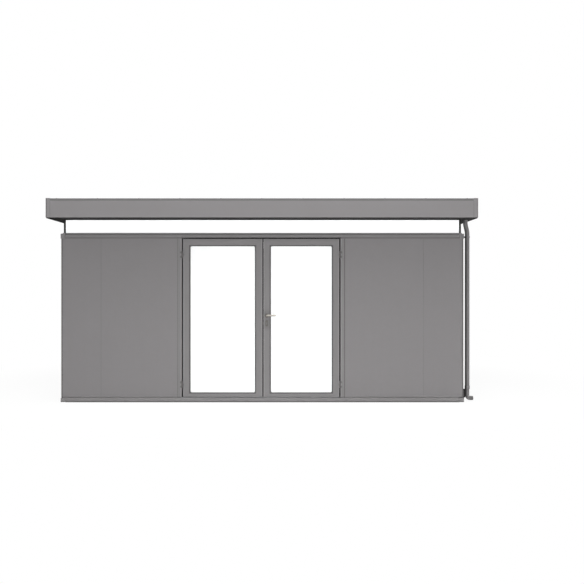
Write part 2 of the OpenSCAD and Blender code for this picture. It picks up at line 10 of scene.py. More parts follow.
import bmesh
import bpy
from bpy.props import FloatProperty, FloatVectorProperty, IntProperty, PointerProperty
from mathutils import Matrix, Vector


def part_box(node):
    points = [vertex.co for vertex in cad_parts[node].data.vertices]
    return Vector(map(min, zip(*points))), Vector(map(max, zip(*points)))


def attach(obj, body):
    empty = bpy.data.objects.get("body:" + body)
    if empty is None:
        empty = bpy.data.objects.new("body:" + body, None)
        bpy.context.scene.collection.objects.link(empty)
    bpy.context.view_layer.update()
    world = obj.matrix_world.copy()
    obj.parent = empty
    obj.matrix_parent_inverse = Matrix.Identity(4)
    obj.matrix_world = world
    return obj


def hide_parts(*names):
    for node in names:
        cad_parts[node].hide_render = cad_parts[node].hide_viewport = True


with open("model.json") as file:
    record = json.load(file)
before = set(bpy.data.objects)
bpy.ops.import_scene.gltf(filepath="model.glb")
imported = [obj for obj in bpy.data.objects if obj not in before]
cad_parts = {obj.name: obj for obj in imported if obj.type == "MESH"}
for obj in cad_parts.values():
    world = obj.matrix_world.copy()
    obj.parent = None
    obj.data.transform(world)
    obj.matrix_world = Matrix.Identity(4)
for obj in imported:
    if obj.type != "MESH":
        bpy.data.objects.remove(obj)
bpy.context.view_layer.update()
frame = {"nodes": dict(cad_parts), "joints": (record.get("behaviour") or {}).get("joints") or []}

bl_info = {
    "name": "Metal Shed",
    "version": (1, 0, 0),
    "blender": (4, 5, 0),
    "location": "View3D > Sidebar > Shed",
    "description": "Builds a metal shed with glazed double doors round its frame",
    "category": "Add Mesh",
}

# Lengths that more than one piece or finish uses, in metres.
NEAR = 0.0001             # levels this close together count as one
SMALL_EDGE = 0.001        # radius along the edges of boards, trims and caps
CORNER_WIDENING = 0.003   # how far the corner posts reach past their nodes at the sides
LOCK_PROUD = 0.0085       # from a leaf's face to where the lever's neck starts
LEVER_RISE = 0.0035       # how far the levers' middle lies over their spindle
NECK_UPPER = 0.054        # from the soffit down to the swan neck's upper bend
NECK_LOWER = 0.152        # from the soffit down to its lower bend
PIPE_WALL = 0.002         # thickness of the downpipe's sheet
HOLDER_FOOT = 0.035       # how far the lower holder's foot goes down
SOFFIT_SHADOW = 0.0032    # open joint between the roof's edge and the soffit's face
DRIP = 0.006              # how far the side drips stand below the soffit
LIT_INSET = 0.009         # from a profile's free edge to the line that catches light
LIT_WIDTH = 0.005         # half the width of that line
LIT_GAIN = 0.22           # how much lighter it is


def screen(red, green, blue):
    """A colour in screen values from 0 to 255, as the linear values a shader takes."""
    return tuple(
        c / 255 / 12.92 if c <= 10 else ((c / 255 + 0.055) / 1.055) ** 2.4
        for c in (red, green, blue)
    )


def colour(name, description, *values):
    return FloatVectorProperty(
        name=name, description=description, subtype="COLOR", size=3, min=0, max=1,
        default=screen(*values),
    )


def length(name, description, default, highest=0.05):
    return FloatProperty(
        name=name, description=description, default=default, min=0, max=highest,
        unit="LENGTH", precision=4,
    )


def share(name, description, default, highest=1.0):
    return FloatProperty(
        name=name, description=description, default=default, min=0, max=highest,
        subtype="FACTOR",
    )


# ---------------------------------------------------------------- settings


class ShedColours(bpy.types.PropertyGroup):
    wall: colour("Walls", "Coil coating of the wall sheets", 133, 130.5, 131.5)
    base: colour("Base", "Powder coating of the base rails and their corners", 138, 136, 136.5)
    frame: colour("Frames", "Powder coating of the beams and door profiles", 131, 129, 129.5)
    # Painted shade: the frames' coating made darker on the slopes, standing in for the shade there.
    slope: colour("Slopes", "Matt coating on the slopes that shed water", 114, 112, 113)
    # Painted light: the tracks are lighter than the frames to make up for the shade in their
    # recess.
    track: colour("Tracks", "Light coating on the tracks under the walls", 157, 155, 155)
    # Painted light: lighter than the walls' coating, standing in for the more light on the fascias.
    roof: colour("Roof edge", "Coil coating of the fascias and the roof sheet", 145, 142.5, 143.5)
    flashing: colour("Flashing", "Coil coating of the flashing over the fascias", 123, 121.5, 122)
    trim: colour("Dark trim", "Band posts, door stops and pipe brackets", 42, 41, 41)
    soffit: colour("Soffit", "Matt film on the soffit boards", 28, 28, 28)
    # Painted shade: on the glazing beads this dark colour stands in for the shade in their recess.
    bead: colour("Glazing beads", "Beads that hold the panes", 95, 93, 93)
    hinge: colour("Hinges", "Paint on the door hinges", 114, 112, 112)
    rubber: colour("Seals", "Glazing gaskets and door seals", 44, 44, 44)
    joint: colour("Joints", "Sealant between the wall sheets", 116, 114, 115)
    # Painted light: the brushes are made light to make up for the shade in the joint under the
    # leaves.
    brush: colour("Brush seals", "Brushes under the door leaves", 190, 188, 188)
    lining: colour("Lining", "Inner skins and ceiling", 232, 232, 229)
    glass: colour("Panes", "Opal glass", 247, 248, 248)
    steel: colour("Steel", "Brushed stainless steel", 214, 210, 204)
    lever: colour("Lever", "Brushed nickel of the levers", 184, 179, 171)
    plate: colour("Lock plates", "Satin bronze of the rose and the key plate", 116, 113, 110)
    zinc: colour("Zinc", "Galvanised joists and fixings", 168, 171, 173)
    board: colour("Floor board", "Coated face of the floor panel", 122, 101, 80)


class ShedFolds(bpy.types.PropertyGroup):
    sheet_fold: length("Sheet fold", "Radius of the wall sheets' folded edges", 0.0008)
    profile_edge: length("Profile edge", "Radius along the edges of frame profiles", 0.0015)
    leaf_edge: length("Leaf edge", "Radius along the outer edges of a door leaf", 0.0022)
    glass_corner: length("Glass corner", "Corner radius of the glazing beads", 0.014)
    gasket: length("Gasket", "Width of the seal that shows round a pane", 0.002)
    seam_fold: length("Seam fold", "Radius on top of the roof's standing seams", 0.005)
    rib: length("Roof rib", "Height of the stiffening ribs between two seams", 0.002)
    pipe_sides: IntProperty(
        name="Pipe sides", description="Faces round the downpipe", default=48, min=12, max=128
    )


class ShedStage(bpy.types.PropertyGroup):
    camera_x: FloatProperty(
        name="Camera X", description="Sideways place of the camera", default=0.2687, unit="LENGTH"
    )
    camera_height: FloatProperty(
        name="Camera height", description="Height of the camera", default=1.43, unit="LENGTH"
    )
    camera_distance: FloatProperty(
        name="Camera distance", description="Distance of the camera from the fascia",
        default=6.885, unit="LENGTH",
    )
    lens: FloatProperty(
        name="Lens", description="Focal length in millimetres", default=34.9, min=10, max=200
    )
    shift_x: FloatProperty(name="Shift X", description="Sideways framing", default=0.0137)
    shift_y: FloatProperty(name="Shift Y", description="Upward framing", default=-0.0086)
    sky: share("Sky", "Strength of the even light from all round", 0.36, 3)
    zenith: share("Zenith", "How much brighter the sky is overhead", 3.0, 5)
    top_lamp: FloatProperty(
        name="Top lamp", description="Power of the gridded lamp above the front", default=117,
        subtype="POWER",
    )
    front_lamp: FloatProperty(
        name="Front lamp", description="Power of the large lamp in front", default=52,
        subtype="POWER",
    )
    floor: colour("Floor", "Studio floor", 238, 238, 238)


# ---------------------------------------------------------------- shader maths


class Wire:
    """A shader socket that takes part in plain arithmetic."""

    def __init__(self, finish, socket):
        self.finish, self.socket = finish, socket

    def maths(self, operation, *terms):
        return self.finish.node("ShaderNodeMath", {"operation": operation}, terms)

    def __add__(self, other):
        return self.maths("ADD", self, other)

    __radd__ = __add__

    def __sub__(self, other):
        return self.maths("SUBTRACT", self, other)

    def __rsub__(self, other):
        return self.maths("SUBTRACT", other, self)

    def __mul__(self, other):
        return self.maths("MULTIPLY", self, other)

    __rmul__ = __mul__

    def __lt__(self, other):
        return self.maths("LESS_THAN", self, other)

    def __gt__(self, other):
        return self.maths("GREATER_THAN", self, other)

    def __abs__(self):
        return self.maths("ABSOLUTE", self)

    def ramp(self, low, high, start, end):
        """Changes smoothly from start to end while this value goes from low to high."""
        return self.finish.node(
            "ShaderNodeMapRange", {"interpolation_type": "SMOOTHSTEP"},
            [self, low, high, start, end],
        )


class Finish:
    """The nodes of a material or a world."""

    def __init__(self, name, kind="materials"):
        self.made = getattr(bpy.data, kind).new(name)
        self.made.use_nodes = True
        self.tree = self.made.node_tree
        self.tree.nodes.clear()

    def node(self, kind, settings=None, values=(), output=0):
        """Adds a node: its settings first, then the values or wires of its sockets."""
        made = self.tree.nodes.new(kind)
        for name, value in (settings or {}).items():
            setattr(made, name, value)
        pairs = values.items() if isinstance(values, dict) else enumerate(values)
        for key, value in pairs:
            socket = made.inputs[key]
            if isinstance(value, Wire):
                self.tree.links.new(value.socket, socket)
            elif hasattr(value, "__len__") and len(value) == 3 and socket.type == "RGBA":
                socket.default_value = (*value, 1)
            else:
                socket.default_value = value
        return Wire(self, made.outputs[output]) if made.outputs else None

    def place(self):
        """The point on the piece, in metres."""
        return self.node("ShaderNodeTexCoord", output="Object")

    def axes(self, point):
        """The three coordinates of a point."""
        split = self.node("ShaderNodeSeparateXYZ", values=[point]).socket.node
        return [Wire(self, out) for out in split.outputs]

    def stretch(self, point, *factors):
        return self.node("ShaderNodeVectorMath", {"operation": "MULTIPLY"}, [point, factors])

    def noise(self, point, scale, detail=2.0, roughness=0.5):
        return self.node(
            "ShaderNodeTexNoise",
            values={"Vector": point, "Scale": scale, "Detail": detail, "Roughness": roughness},
        )

    def cells(self, point, scale, feature="F1", output="Distance"):
        return self.node(
            "ShaderNodeTexVoronoi", {"feature": feature}, {"Vector": point, "Scale": scale}, output
        )

    def blend(self, factor, first, second):
        """Mixes two colours."""
        return self.node(
            "ShaderNodeMix", {"data_type": "RGBA"}, {0: factor, 6: first, 7: second}, 2
        )

    def tone(self, base, factor):
        """A colour made lighter or darker by a factor about 1."""
        grey = self.node("ShaderNodeCombineXYZ", values=[factor, factor, factor])
        return self.node("ShaderNodeVectorMath", {"operation": "MULTIPLY"}, [base, grey])

    def lined(self, outside, lining):
        """Gives everything within the walls' inner faces the lining's colour."""
        x, y, z = self.axes(self.place())
        past = 0.0004
        across = abs(x) < -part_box("left_wall")[1].x + past
        along = abs(y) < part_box("back_wall")[0].y + past
        return self.blend(across * along, outside, lining)

    def relief(self, height, depth, strength=1.0):
        return self.node(
            "ShaderNodeBump", values={"Strength": strength, "Distance": depth, "Height": height}
        )

    def surface(self, values):
        """Ends the tree in a Principled shader."""
        shader = self.node("ShaderNodeBsdfPrincipled", values=values)
        self.node("ShaderNodeOutputMaterial", values={"Surface": shader})
        return self.made

    def plainly_seen(self):
        """1 for the rays that show a backdrop: seen straight, in a gloss or through a pane."""
        rays = [
            self.node("ShaderNodeLightPath", output=name)
            for name in ("Is Camera Ray", "Is Glossy Ray", "Is Transmission Ray")
        ]
        return rays[0] + rays[1] + rays[2]


# ---------------------------------------------------------------- finishes


def coated(name, base, rough=0.46, lining=None, gloss=0.4, shade=None):
    """Coil or powder coating: an even colour with a fine grain, faint clouding and dust low down.

    With a lining colour, what lies inside the wall's inner face takes that colour. A shade is
    a function of x, y and z that paints light or shade into the coating, making it
    lighter or darker.
    """
    f = Finish(name)
    p = f.place()
    fine, cloud, broad = f.noise(p, 320, 1), f.noise(p, 26, 3, 0.6), f.noise(p, 0.9, 2)
    x, y, z = f.axes(p)
    dust = z.ramp(0.0, 0.4, 1.0, 0.0)
    tone = 0.955 + 0.05 * fine + 0.03 * cloud + 0.02 * broad + 0.012 * dust * broad
    # A shade paints light or shade into the coating's colour.
    if shade:
        tone = tone * shade(x, y, z)
    coat = f.tone(base, tone)
    if lining:
        coat = f.lined(coat, lining)
    return f.surface({
        "Base Color": coat,
        "Roughness": rough - 0.06 + 0.07 * cloud + 0.05 * fine,
        "Specular IOR Level": gloss,
        "Normal": f.relief(fine + 0.6 * cloud, 0.0004, 0.35),
    })


def sheet_steel(name, base, lining):
    """The walls' embossed sheet: shallow pebbles under the coating."""
    f = Finish(name)
    p = f.place()
    pebbles = f.cells(p, 150, "SMOOTH_F1")
    fine, cloud, broad = f.noise(p, 420, 1), f.noise(p, 34, 3, 0.65), f.noise(p, 0.8, 2)
    runs = f.noise(f.stretch(p, 9, 9, 0.35), 2.0, 3)
    tone = 0.94 + 0.05 * cloud + 0.03 * fine + 0.02 * broad + 0.02 * runs
    return f.surface({
        "Base Color": f.lined(f.tone(base, tone), lining),
        "Roughness": 0.39 + 0.08 * cloud + 0.04 * pebbles,
        "Specular IOR Level": 0.4,
        "Normal": f.relief(pebbles + 0.3 * fine, 0.0006, 0.4),
    })


def opal_glass(name, base, painted_glow):
    """Opal glass: white all through, a smooth face, and a faint painted glow as if lit within."""
    f = Finish(name)
    p = f.place()
    drift = f.noise(p, 1.3, 2)
    shade = f.tone(base, 0.985 + 0.02 * drift)
    return f.surface({
        "Base Color": shade,
        "Roughness": 0.1 + 0.06 * drift,
        "Emission Color": shade,
        # Painted glow: the panes give off light though they are no lamp.
        "Emission Strength": painted_glow,
        "Coat Weight": 0.5,
    })


def brushed_steel(name, base, along=(1, 14, 14), rough=0.3, shade=None):
    """Brushed metal: fine hair lines that are stretched along one way, and a few smears."""
    f = Finish(name)
    p = f.place()
    hair = f.noise(f.stretch(p, *along), 180, 3, 0.7)
    smear = f.noise(p, 24, 3)
    tone = 0.94 + 0.08 * hair + 0.03 * smear
    # A shade paints light or shade into the steel's colour.
    if shade:
        tone = tone * shade(*f.axes(p))
    return f.surface({
        "Base Color": f.tone(base, tone),
        "Metallic": 1.0,
        "Roughness": rough - 0.05 + 0.12 * hair + 0.05 * smear,
        "Normal": f.relief(hair, 0.0002, 0.3),
    })


def hot_zinc(name, base):
    """Galvanising: spangles with a dull bloom."""
    f = Finish(name)
    p = f.place()
    spangle = f.cells(p, 90, output="Color")
    tone = f.axes(spangle)[0]
    bloom = f.noise(p, 12, 3)
    return f.surface({
        "Base Color": f.tone(base, 0.86 + 0.16 * tone + 0.08 * bloom),
        "Metallic": 0.7,
        "Roughness": 0.36 + 0.16 * tone + 0.08 * bloom,
    })


def grip_board(name, base):
    """Film-faced plywood with a pressed mesh."""
    f = Finish(name)
    p = f.place()
    mesh = f.cells(p, 130, "DISTANCE_TO_EDGE")
    wire = mesh.ramp(0.02, 0.12, 1.0, 0.0)
    grain = f.noise(f.stretch(p, 1.5, 14, 14), 6, 4, 0.6)
    scuff = f.noise(p, 3.0, 4, 0.6)
    tone = 0.8 + 0.22 * grain + 0.1 * scuff - 0.12 * wire
    return f.surface({
        "Base Color": f.tone(base, tone),
        "Roughness": 0.42 + 0.2 * scuff,
        "Normal": f.relief(wire, 0.0006, 0.6),
    })


def soft_rubber(name, base):
    """Seals and brushes: a dull face with a light bloom."""
    f = Finish(name)
    p = f.place()
    bloom, fine = f.noise(p, 40, 3), f.noise(p, 700, 1)
    return f.surface({
        "Base Color": f.tone(base, 0.85 + 0.3 * bloom),
        "Roughness": 0.58 + 0.14 * fine,
        "Normal": f.relief(fine, 0.0002, 0.3),
    })


def studio_floor(name, base, keep):
    """A pale floor that keeps the shed's shadow near it and runs out to white."""
    f = Finish(name)
    p = f.place()
    drift = f.noise(p, 0.6, 2)
    oval = f.stretch(p, 0.6, 1, 0)
    away = f.node("ShaderNodeVectorMath", {"operation": "LENGTH"}, [oval], "Value")
    fade = away.ramp(1.6, 3.2, keep, 1.0)
    lit = f.node("ShaderNodeBsdfPrincipled", values={
        "Base Color": f.tone(base, 0.99 + 0.02 * drift), "Roughness": 0.9,
    })
    white = f.node("ShaderNodeEmission", values={"Color": (1, 1, 1), "Strength": 1.0})
    both = f.node("ShaderNodeMixShader", values=[f.plainly_seen() * fade, lit, white])
    f.node("ShaderNodeOutputMaterial", values={"Surface": both})
    return f.made


def studio_sky(name, level, zenith):
    """An even sky, brighter overhead, in front of a white backdrop."""
    f = Finish(name, "worlds")
    high = f.axes(f.node("ShaderNodeTexCoord", output="Generated"))[2]
    rise = high.ramp(0.5, 1.0, 0.0, zenith)
    light = f.node("ShaderNodeBackground", values={
        "Color": (1, 1, 1), "Strength": level * (1 + rise),
    })
    white = f.node("ShaderNodeBackground", values={"Color": (1, 1, 1), "Strength": 1.0})
    both = f.node("ShaderNodeMixShader", values=[f.plainly_seen(), light, white])
    f.node("ShaderNodeOutputWorld", values={"Surface": both})
    return f.made


def end_shade(node, width, left, right):
    """Painted shade: darkens the front's outermost edges on a node's left and right ends."""
    lo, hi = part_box(node)
    return lambda x, y, z: 1 - (y < lo.y + width) * (
        left * (x < lo.x + width) + right * (x > hi.x - width)
    )


def edge_light(places, shade_spot=None):
    """Paints highlights: lightens narrow upright lines, where the rounded edges of a profile catch
    more light.

    Round a shaded spot, given as x and z, it paints shade as well.
    """
    def shade(x, y, z):
        lines = 0
        # Painted highlights along the profiles' edges.
        for place in places:
            lines = lines + (abs(x - place) < LIT_WIDTH)
        level = 1 + LIT_GAIN * lines
        if shade_spot:
            # Painted shade: a darker spot round the lock.
            lock_spot_shade = abs(z - shade_spot[1]).ramp(0.09, 0.15, 0.12, 0.0) * (abs(x - shade_spot[0]) < 0.05)
            level = level - lock_spot_shade
        return level
    return shade


def leaf_lines():
    """Where the stiles of both leaves catch light, just inside their outer edges."""
    return [
        box[end].x + (LIT_INSET, -LIT_INSET)[end]
        for box in map(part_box, ("left_door_stiles", "right_door_stiles")) for end in (0, 1)
    ]


def jamb_lines():
    """Where the jambs catch light, beside the leaves."""
    return [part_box("left_jamb")[1].x - LIT_INSET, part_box("right_jamb")[0].x + LIT_INSET]


def lock_place():
    """The middle of the lock plates, as x and z."""
    lo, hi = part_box("lock_plates")
    return (lo.x + hi.x) / 2, (lo.z + hi.z) / 2


def foot_shade(x, y, z):
    """Painted shade: the base is darker along its lower edge, where it turns in to the ground."""
    return 1 - 0.25 * (z < 0.017) - 0.35 * (z < 0.0105)


def crest_shade(x, y, z):
    """Painted shade: the slopes are darker along their upper edge."""
    dark_width = 0.007
    return 1.03 - 0.33 * (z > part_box("ring_beams")[1].z - dark_width)


def soffit_shade(x, y, z):
    """Painted light and shade: the soffit lightens to its middle and is dark past the band's left
    end.
    """
    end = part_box("band_posts")[1].x
    return x.ramp(-end, 0.0, 2.1, 2.6) - 1.7 * (x < -end)


def lever_shade(x, y, z):
    """Painted shade: the levers are darker underneath."""
    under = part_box("lever_handles")[0].z + LEVER_RISE
    return z.ramp(under + 0.003, under + 0.0065, 0.45, 1.06)


def pipe_shade(x, y, z):
    """Painted shade: the downpipe is darker on both its sides, and most towards the wall."""
    lo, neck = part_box("downpipe")[0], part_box("swan_neck")
    soffit = neck[1].z
    shift = z.ramp(soffit - NECK_LOWER, soffit - NECK_UPPER, 0.0, lo.x - neck[0].x)
    across = x + shift
    inner_side = across.ramp(lo.x - 0.004, lo.x + 0.026, 0.14, 1.02)
    return inner_side * across.ramp(lo.x + 0.03, lo.x + 0.058, 1.0, 0.68)


FINISHES = {}


def finish(name):
    """A finish by its name, made the first time it is asked for."""
    if name not in FINISHES:
        c = bpy.context.scene.shed_colours
        # Finishes with a shade function carry painted light and shade: base, leaf, jamb, slope,
        # pipe, cap, soffit, post and lever; the panes carry a painted glow.
        make = {
            "wall": lambda: sheet_steel("wall_paint", c.wall, c.lining),
            "base": lambda: coated("base_paint", c.base, shade=foot_shade),
            "frame": lambda: coated("frame_paint", c.frame),
            "leaf": lambda: coated("leaf_paint", c.frame,
                                   shade=edge_light(leaf_lines(), lock_place())),
            "jamb": lambda: coated("jamb_paint", c.frame, shade=edge_light(jamb_lines())),
            "slope": lambda: coated("slope_paint", c.slope, 0.6, gloss=0.2, shade=crest_shade),
            "track": lambda: coated("track_paint", c.track, 0.5),
            "brush": lambda: soft_rubber("brush_fibre", c.brush),
            "pipe": lambda: coated("pipe_paint", c.frame, shade=pipe_shade),
            "cap": lambda: coated("cap_paint", c.roof, 0.42,
                                  shade=end_shade("fascia_corners", 0.014, 0.55, 0.2)),
            "roof": lambda: coated("roof_paint", c.roof, 0.42),
            "flashing": lambda: coated("flashing_paint", c.flashing, 0.5),
            "trim": lambda: coated("dark_trim", c.trim, 0.55, gloss=0.25),
            "soffit": lambda: coated("soffit_film", c.soffit, 0.8, gloss=0.04, shade=soffit_shade),
            "joint": lambda: coated("joint_sealant", c.joint, 0.6, gloss=0.2),
            "bead": lambda: coated("bead_paint", c.bead, 0.5),
            "hinge": lambda: coated("hinge_paint", c.hinge, 0.4),
            "lining": lambda: coated("lining_paint", c.lining, 0.4),
            "post": lambda: coated("post_paint", c.frame, lining=c.lining,
                                   shade=end_shade("corner_posts", 0.013, 0.55, 0.42)),
            "glass": lambda: opal_glass("opal_glass", c.glass, 0.25),
            "band": lambda: opal_glass("opal_band_glass", c.glass, 0.6),
            "steel": lambda: brushed_steel("brushed_steel", c.steel),
            "lever": lambda: brushed_steel("lever_steel", c.lever, shade=lever_shade),
            "core": lambda: brushed_steel("cylinder_steel", c.frame, (1, 1, 10), 0.5),
            "plate": lambda: brushed_steel("lock_plate_steel", c.plate, (10, 10, 1), 0.42),
            "zinc": lambda: hot_zinc("galvanised", c.zinc),
            "board": lambda: grip_board("floor_board", c.board),
            "rubber": lambda: soft_rubber("seal_rubber", c.rubber),
        }
        FINISHES[name] = make[name]()
    return FINISHES[name]


# ---------------------------------------------------------------- mesh tools


def node_mesh(node):
    """A node's mesh with its corners joined and its flat faces whole."""
    bm = bmesh.new()
    bm.from_mesh(frame["nodes"][node].data)
    bmesh.ops.remove_doubles(bm, verts=bm.verts, dist=1e-6)
    bmesh.ops.dissolve_limit(bm, angle_limit=radians(0.5), verts=bm.verts, edges=bm.edges)
    return bm


def solids(node):
    """The lowest and highest corner of each separate solid in a node, from left to right."""
    bm = node_mesh(node)
    todo, found = set(bm.verts), []
    while todo:
        group, reached = set(), [todo.pop()]
        while reached:
            v = reached.pop()
            group.add(v)
            near = {e.other_vert(v) for e in v.link_edges} & todo
            todo -= near
            reached.extend(near)
        lo = Vector(min(v.co[i] for v in group) for i in range(3))
        hi = Vector(max(v.co[i] for v in group) for i in range(3))
        found.append((lo, hi))
    bm.free()
    return sorted(found, key=lambda b: tuple(round(c, 4) for c in b[0]))


def piece(name, bm, body, look, stands_for=(), edge=0.0, steps=2, sharp=38):
    """Makes a piece from a mesh: it rides on a body, and may stand for CAD nodes."""
    bmesh.ops.recalc_face_normals(bm, faces=bm.faces)
    for face in bm.faces:
        face.smooth = True
    if not edge:
        for e in bm.edges:
            if len(e.link_faces) == 2 and e.calc_face_angle(0) > radians(sharp):
                e.smooth = False
    mesh = bpy.data.meshes.new(name)
    bm.to_mesh(mesh)
    bm.free()
    made = bpy.data.objects.new(name, mesh)
    bpy.context.scene.collection.objects.link(made)
    mesh.materials.append(finish(look))
    if edge:
        bevel = made.modifiers.new("Edges", "BEVEL")
        bevel.width, bevel.segments, bevel.limit_method = edge, steps, "ANGLE"
        bevel.angle_limit = radians(sharp)
        bevel.miter_outer = "MITER_SHARP"
        normals = made.modifiers.new("Normals", "WEIGHTED_NORMAL")
        normals.keep_sharp = True
    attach(made, body)
    if stands_for:
        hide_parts(*stands_for)
    return made


def folded(node, body, look, edge, steps=2):
    """A node's own shape with its edges rounded."""
    return piece(node + "_folded", node_mesh(node), body, look, [node], edge, steps)


def second_coat(made, look, chosen):
    """Gives some of a piece's faces another finish."""
    made.data.materials.append(finish(look))
    for face in made.data.polygons:
        if chosen(face):
            face.material_index = 1


def sloped(face):
    return 0.1 < abs(face.normal.z) < 0.99


def strip(bm, start, end, width, rise, out):
    """A bead of sealant along a line on a face, with rounded shoulders; out is the face's way."""
    start, end, out = Vector(start), Vector(end), Vector(out)
    along = (end - start).normalized()
    side = out.cross(along) * width / 2
    profile = [(-1, -0.2), (-1, 0.4), (-0.6, 1), (0.6, 1), (1, 0.4), (1, -0.2)]
    capped(bm, [[p + side * u + out * rise * v for u, v in profile] for p in (start, end)])


def outer_face(lo, hi, along):
    """The way the outer face of a solid in a wall looks, and where it stands.

    The wall runs along the given axis, 0 for x or 1 for y.
    """
    across = 1 - along
    out = 1 if abs(hi[across]) > abs(lo[across]) else -1
    return out, hi[across] if out > 0 else lo[across]


def dress(node, look):
    """Gives a CAD node its finish."""
    for holder in frame["nodes"][node].material_slots:
        holder.material = finish(look)


def rounded(u0, u1, v0, v1, radius, steps=5):
    """The corners of a rectangle with rounded corners, as (u, v)."""
    radius = max(radius, 1e-5)
    found = []
    for cu, cv, start in (
        (u1 - radius, v1 - radius, 0), (u0 + radius, v1 - radius, 90),
        (u0 + radius, v0 + radius, 180), (u1 - radius, v0 + radius, 270),
    ):
        for k in range(steps + 1):
            a = radians(start + 90 * k / steps)
            found.append((cu + radius * cos(a), cv + radius * sin(a)))
    return found


def capped(bm, rows):
    """Joins rows of points and closes the first and the last row with a face."""
    made = join_rows(bm, rows)
    bm.faces.new(made[0])
    bm.faces.new(made[-1])


def join_rows(bm, rows, closed_row=True, closed=False):
    """Faces between neighbouring rows of points, all of one length."""
    verts = [[bm.verts.new(p) for p in row] for row in rows]
    pairs = list(zip(verts, verts[1:])) + ([(verts[-1], verts[0])] if closed else [])
    for a, b in pairs:
        count = len(a) if closed_row else len(a) - 1
        for i in range(count):
            j = (i + 1) % len(a)
            bm.faces.new((a[i], a[j], b[j], b[i]))
    return verts


def hoop(bm, box, stack):
    """A frame round an opening in the XZ plane. The stack lists (inset, corner radius, y)."""
    x0, x1, z0, z1 = box
    join_rows(bm, [
        [Vector((u, y, v)) for u, v in rounded(x0 + d, x1 - d, z0 + d, z1 - d, r)]
        for d, r, y in stack
    ], closed=True)


def slab(bm, outline, place, depth):
    """An outline of (u, v) points made deep; place turns (u, v, w) into a point."""
    capped(bm, [[place(u, v, w) for u, v in outline] for w in (0, depth)])


def turned(bm, centre, axis, profile, sides=32):
    """A turned shape. The profile lists (distance along the axis, radius), and ends on the axis."""
    axis = Vector(axis).normalized()
    side = axis.orthogonal().normalized()
    other = axis.cross(side)
    rows = []
    for along, radius in profile:
        hub = Vector(centre) + axis * along
        rows.append([
            hub + (side * cos(a) + other * sin(a)) * max(radius, 1e-6)
            for a in (2 * pi * k / sides for k in range(sides))
        ])
    made = join_rows(bm, rows)
    for row, (_, radius) in ((made[0], profile[0]), (made[-1], profile[-1])):
        if radius < 1e-5:
            bmesh.ops.pointmerge(bm, verts=row, merge_co=row[0].co)
        else:
            bm.faces.new(row)


def arc(centre, start, end, radius, steps):
    """Points on an arc in the XZ plane, from the start angle to the end angle in degrees."""
    angles = [radians(start + (end - start) * k / steps) for k in range(steps + 1)]
    return [Vector(centre) + Vector((radius * cos(a), 0, radius * sin(a))) for a in angles]


def tube(bm, path, radii, wall, sides):
    """A pipe along a path, open at both ends. Radii hold the outer radius at each point."""
    tangents = []
    for i, p in enumerate(path):
        a, b = path[max(i - 1, 0)], path[min(i + 1, len(path) - 1)]
        tangents.append((b - a).normalized())
    side = Vector((0, 1, 0))
    angles = [2 * pi * k / sides for k in range(sides)]

    def ring(i, radius):
        other = tangents[i].cross(side).normalized()
        return [path[i] + (side * cos(a) + other * sin(a)) * radius for a in angles]

    outside = [ring(i, radii[i]) for i in range(len(path))]
    inside = [ring(i, min(radii) - wall) for i in reversed(range(len(path)))]
    join_rows(bm, outside + inside, closed=True)


def screw(bm, centre, out, radius):
    """A low domed screw head with a recess."""
    turned(bm, centre, out, [
        (-0.0005, radius), (0.0006, radius), (0.0015, radius * 0.82), (0.002, radius * 0.5),
        (0.002, radius * 0.38), (0.0009, radius * 0.3), (0.0009, 0),
    ], 16)


# ---------------------------------------------------------------- pieces


class Build(bpy.types.Operator):
    """Shared by the operators that make a group of pieces."""

    bl_options = {"REGISTER", "UNDO"}

    @classmethod
    def poll(cls, context):
        return hasattr(context.scene, "shed_folds")


class SHED_OT_base(Build):
    """Base rails, corner connectors, joists and floor panel"""

    bl_idname = "shed.base"
    bl_label = "Base and floor"

    def execute(self, context):
        folds = context.scene.shed_folds
        folded("base_rails", "shed", "base", folds.profile_edge)
        folded("base_corners", "shed", "base", folds.profile_edge)
        dress("floor_joists", "zinc")
        dress("floor_panel", "board")
        return {"FINISHED"}


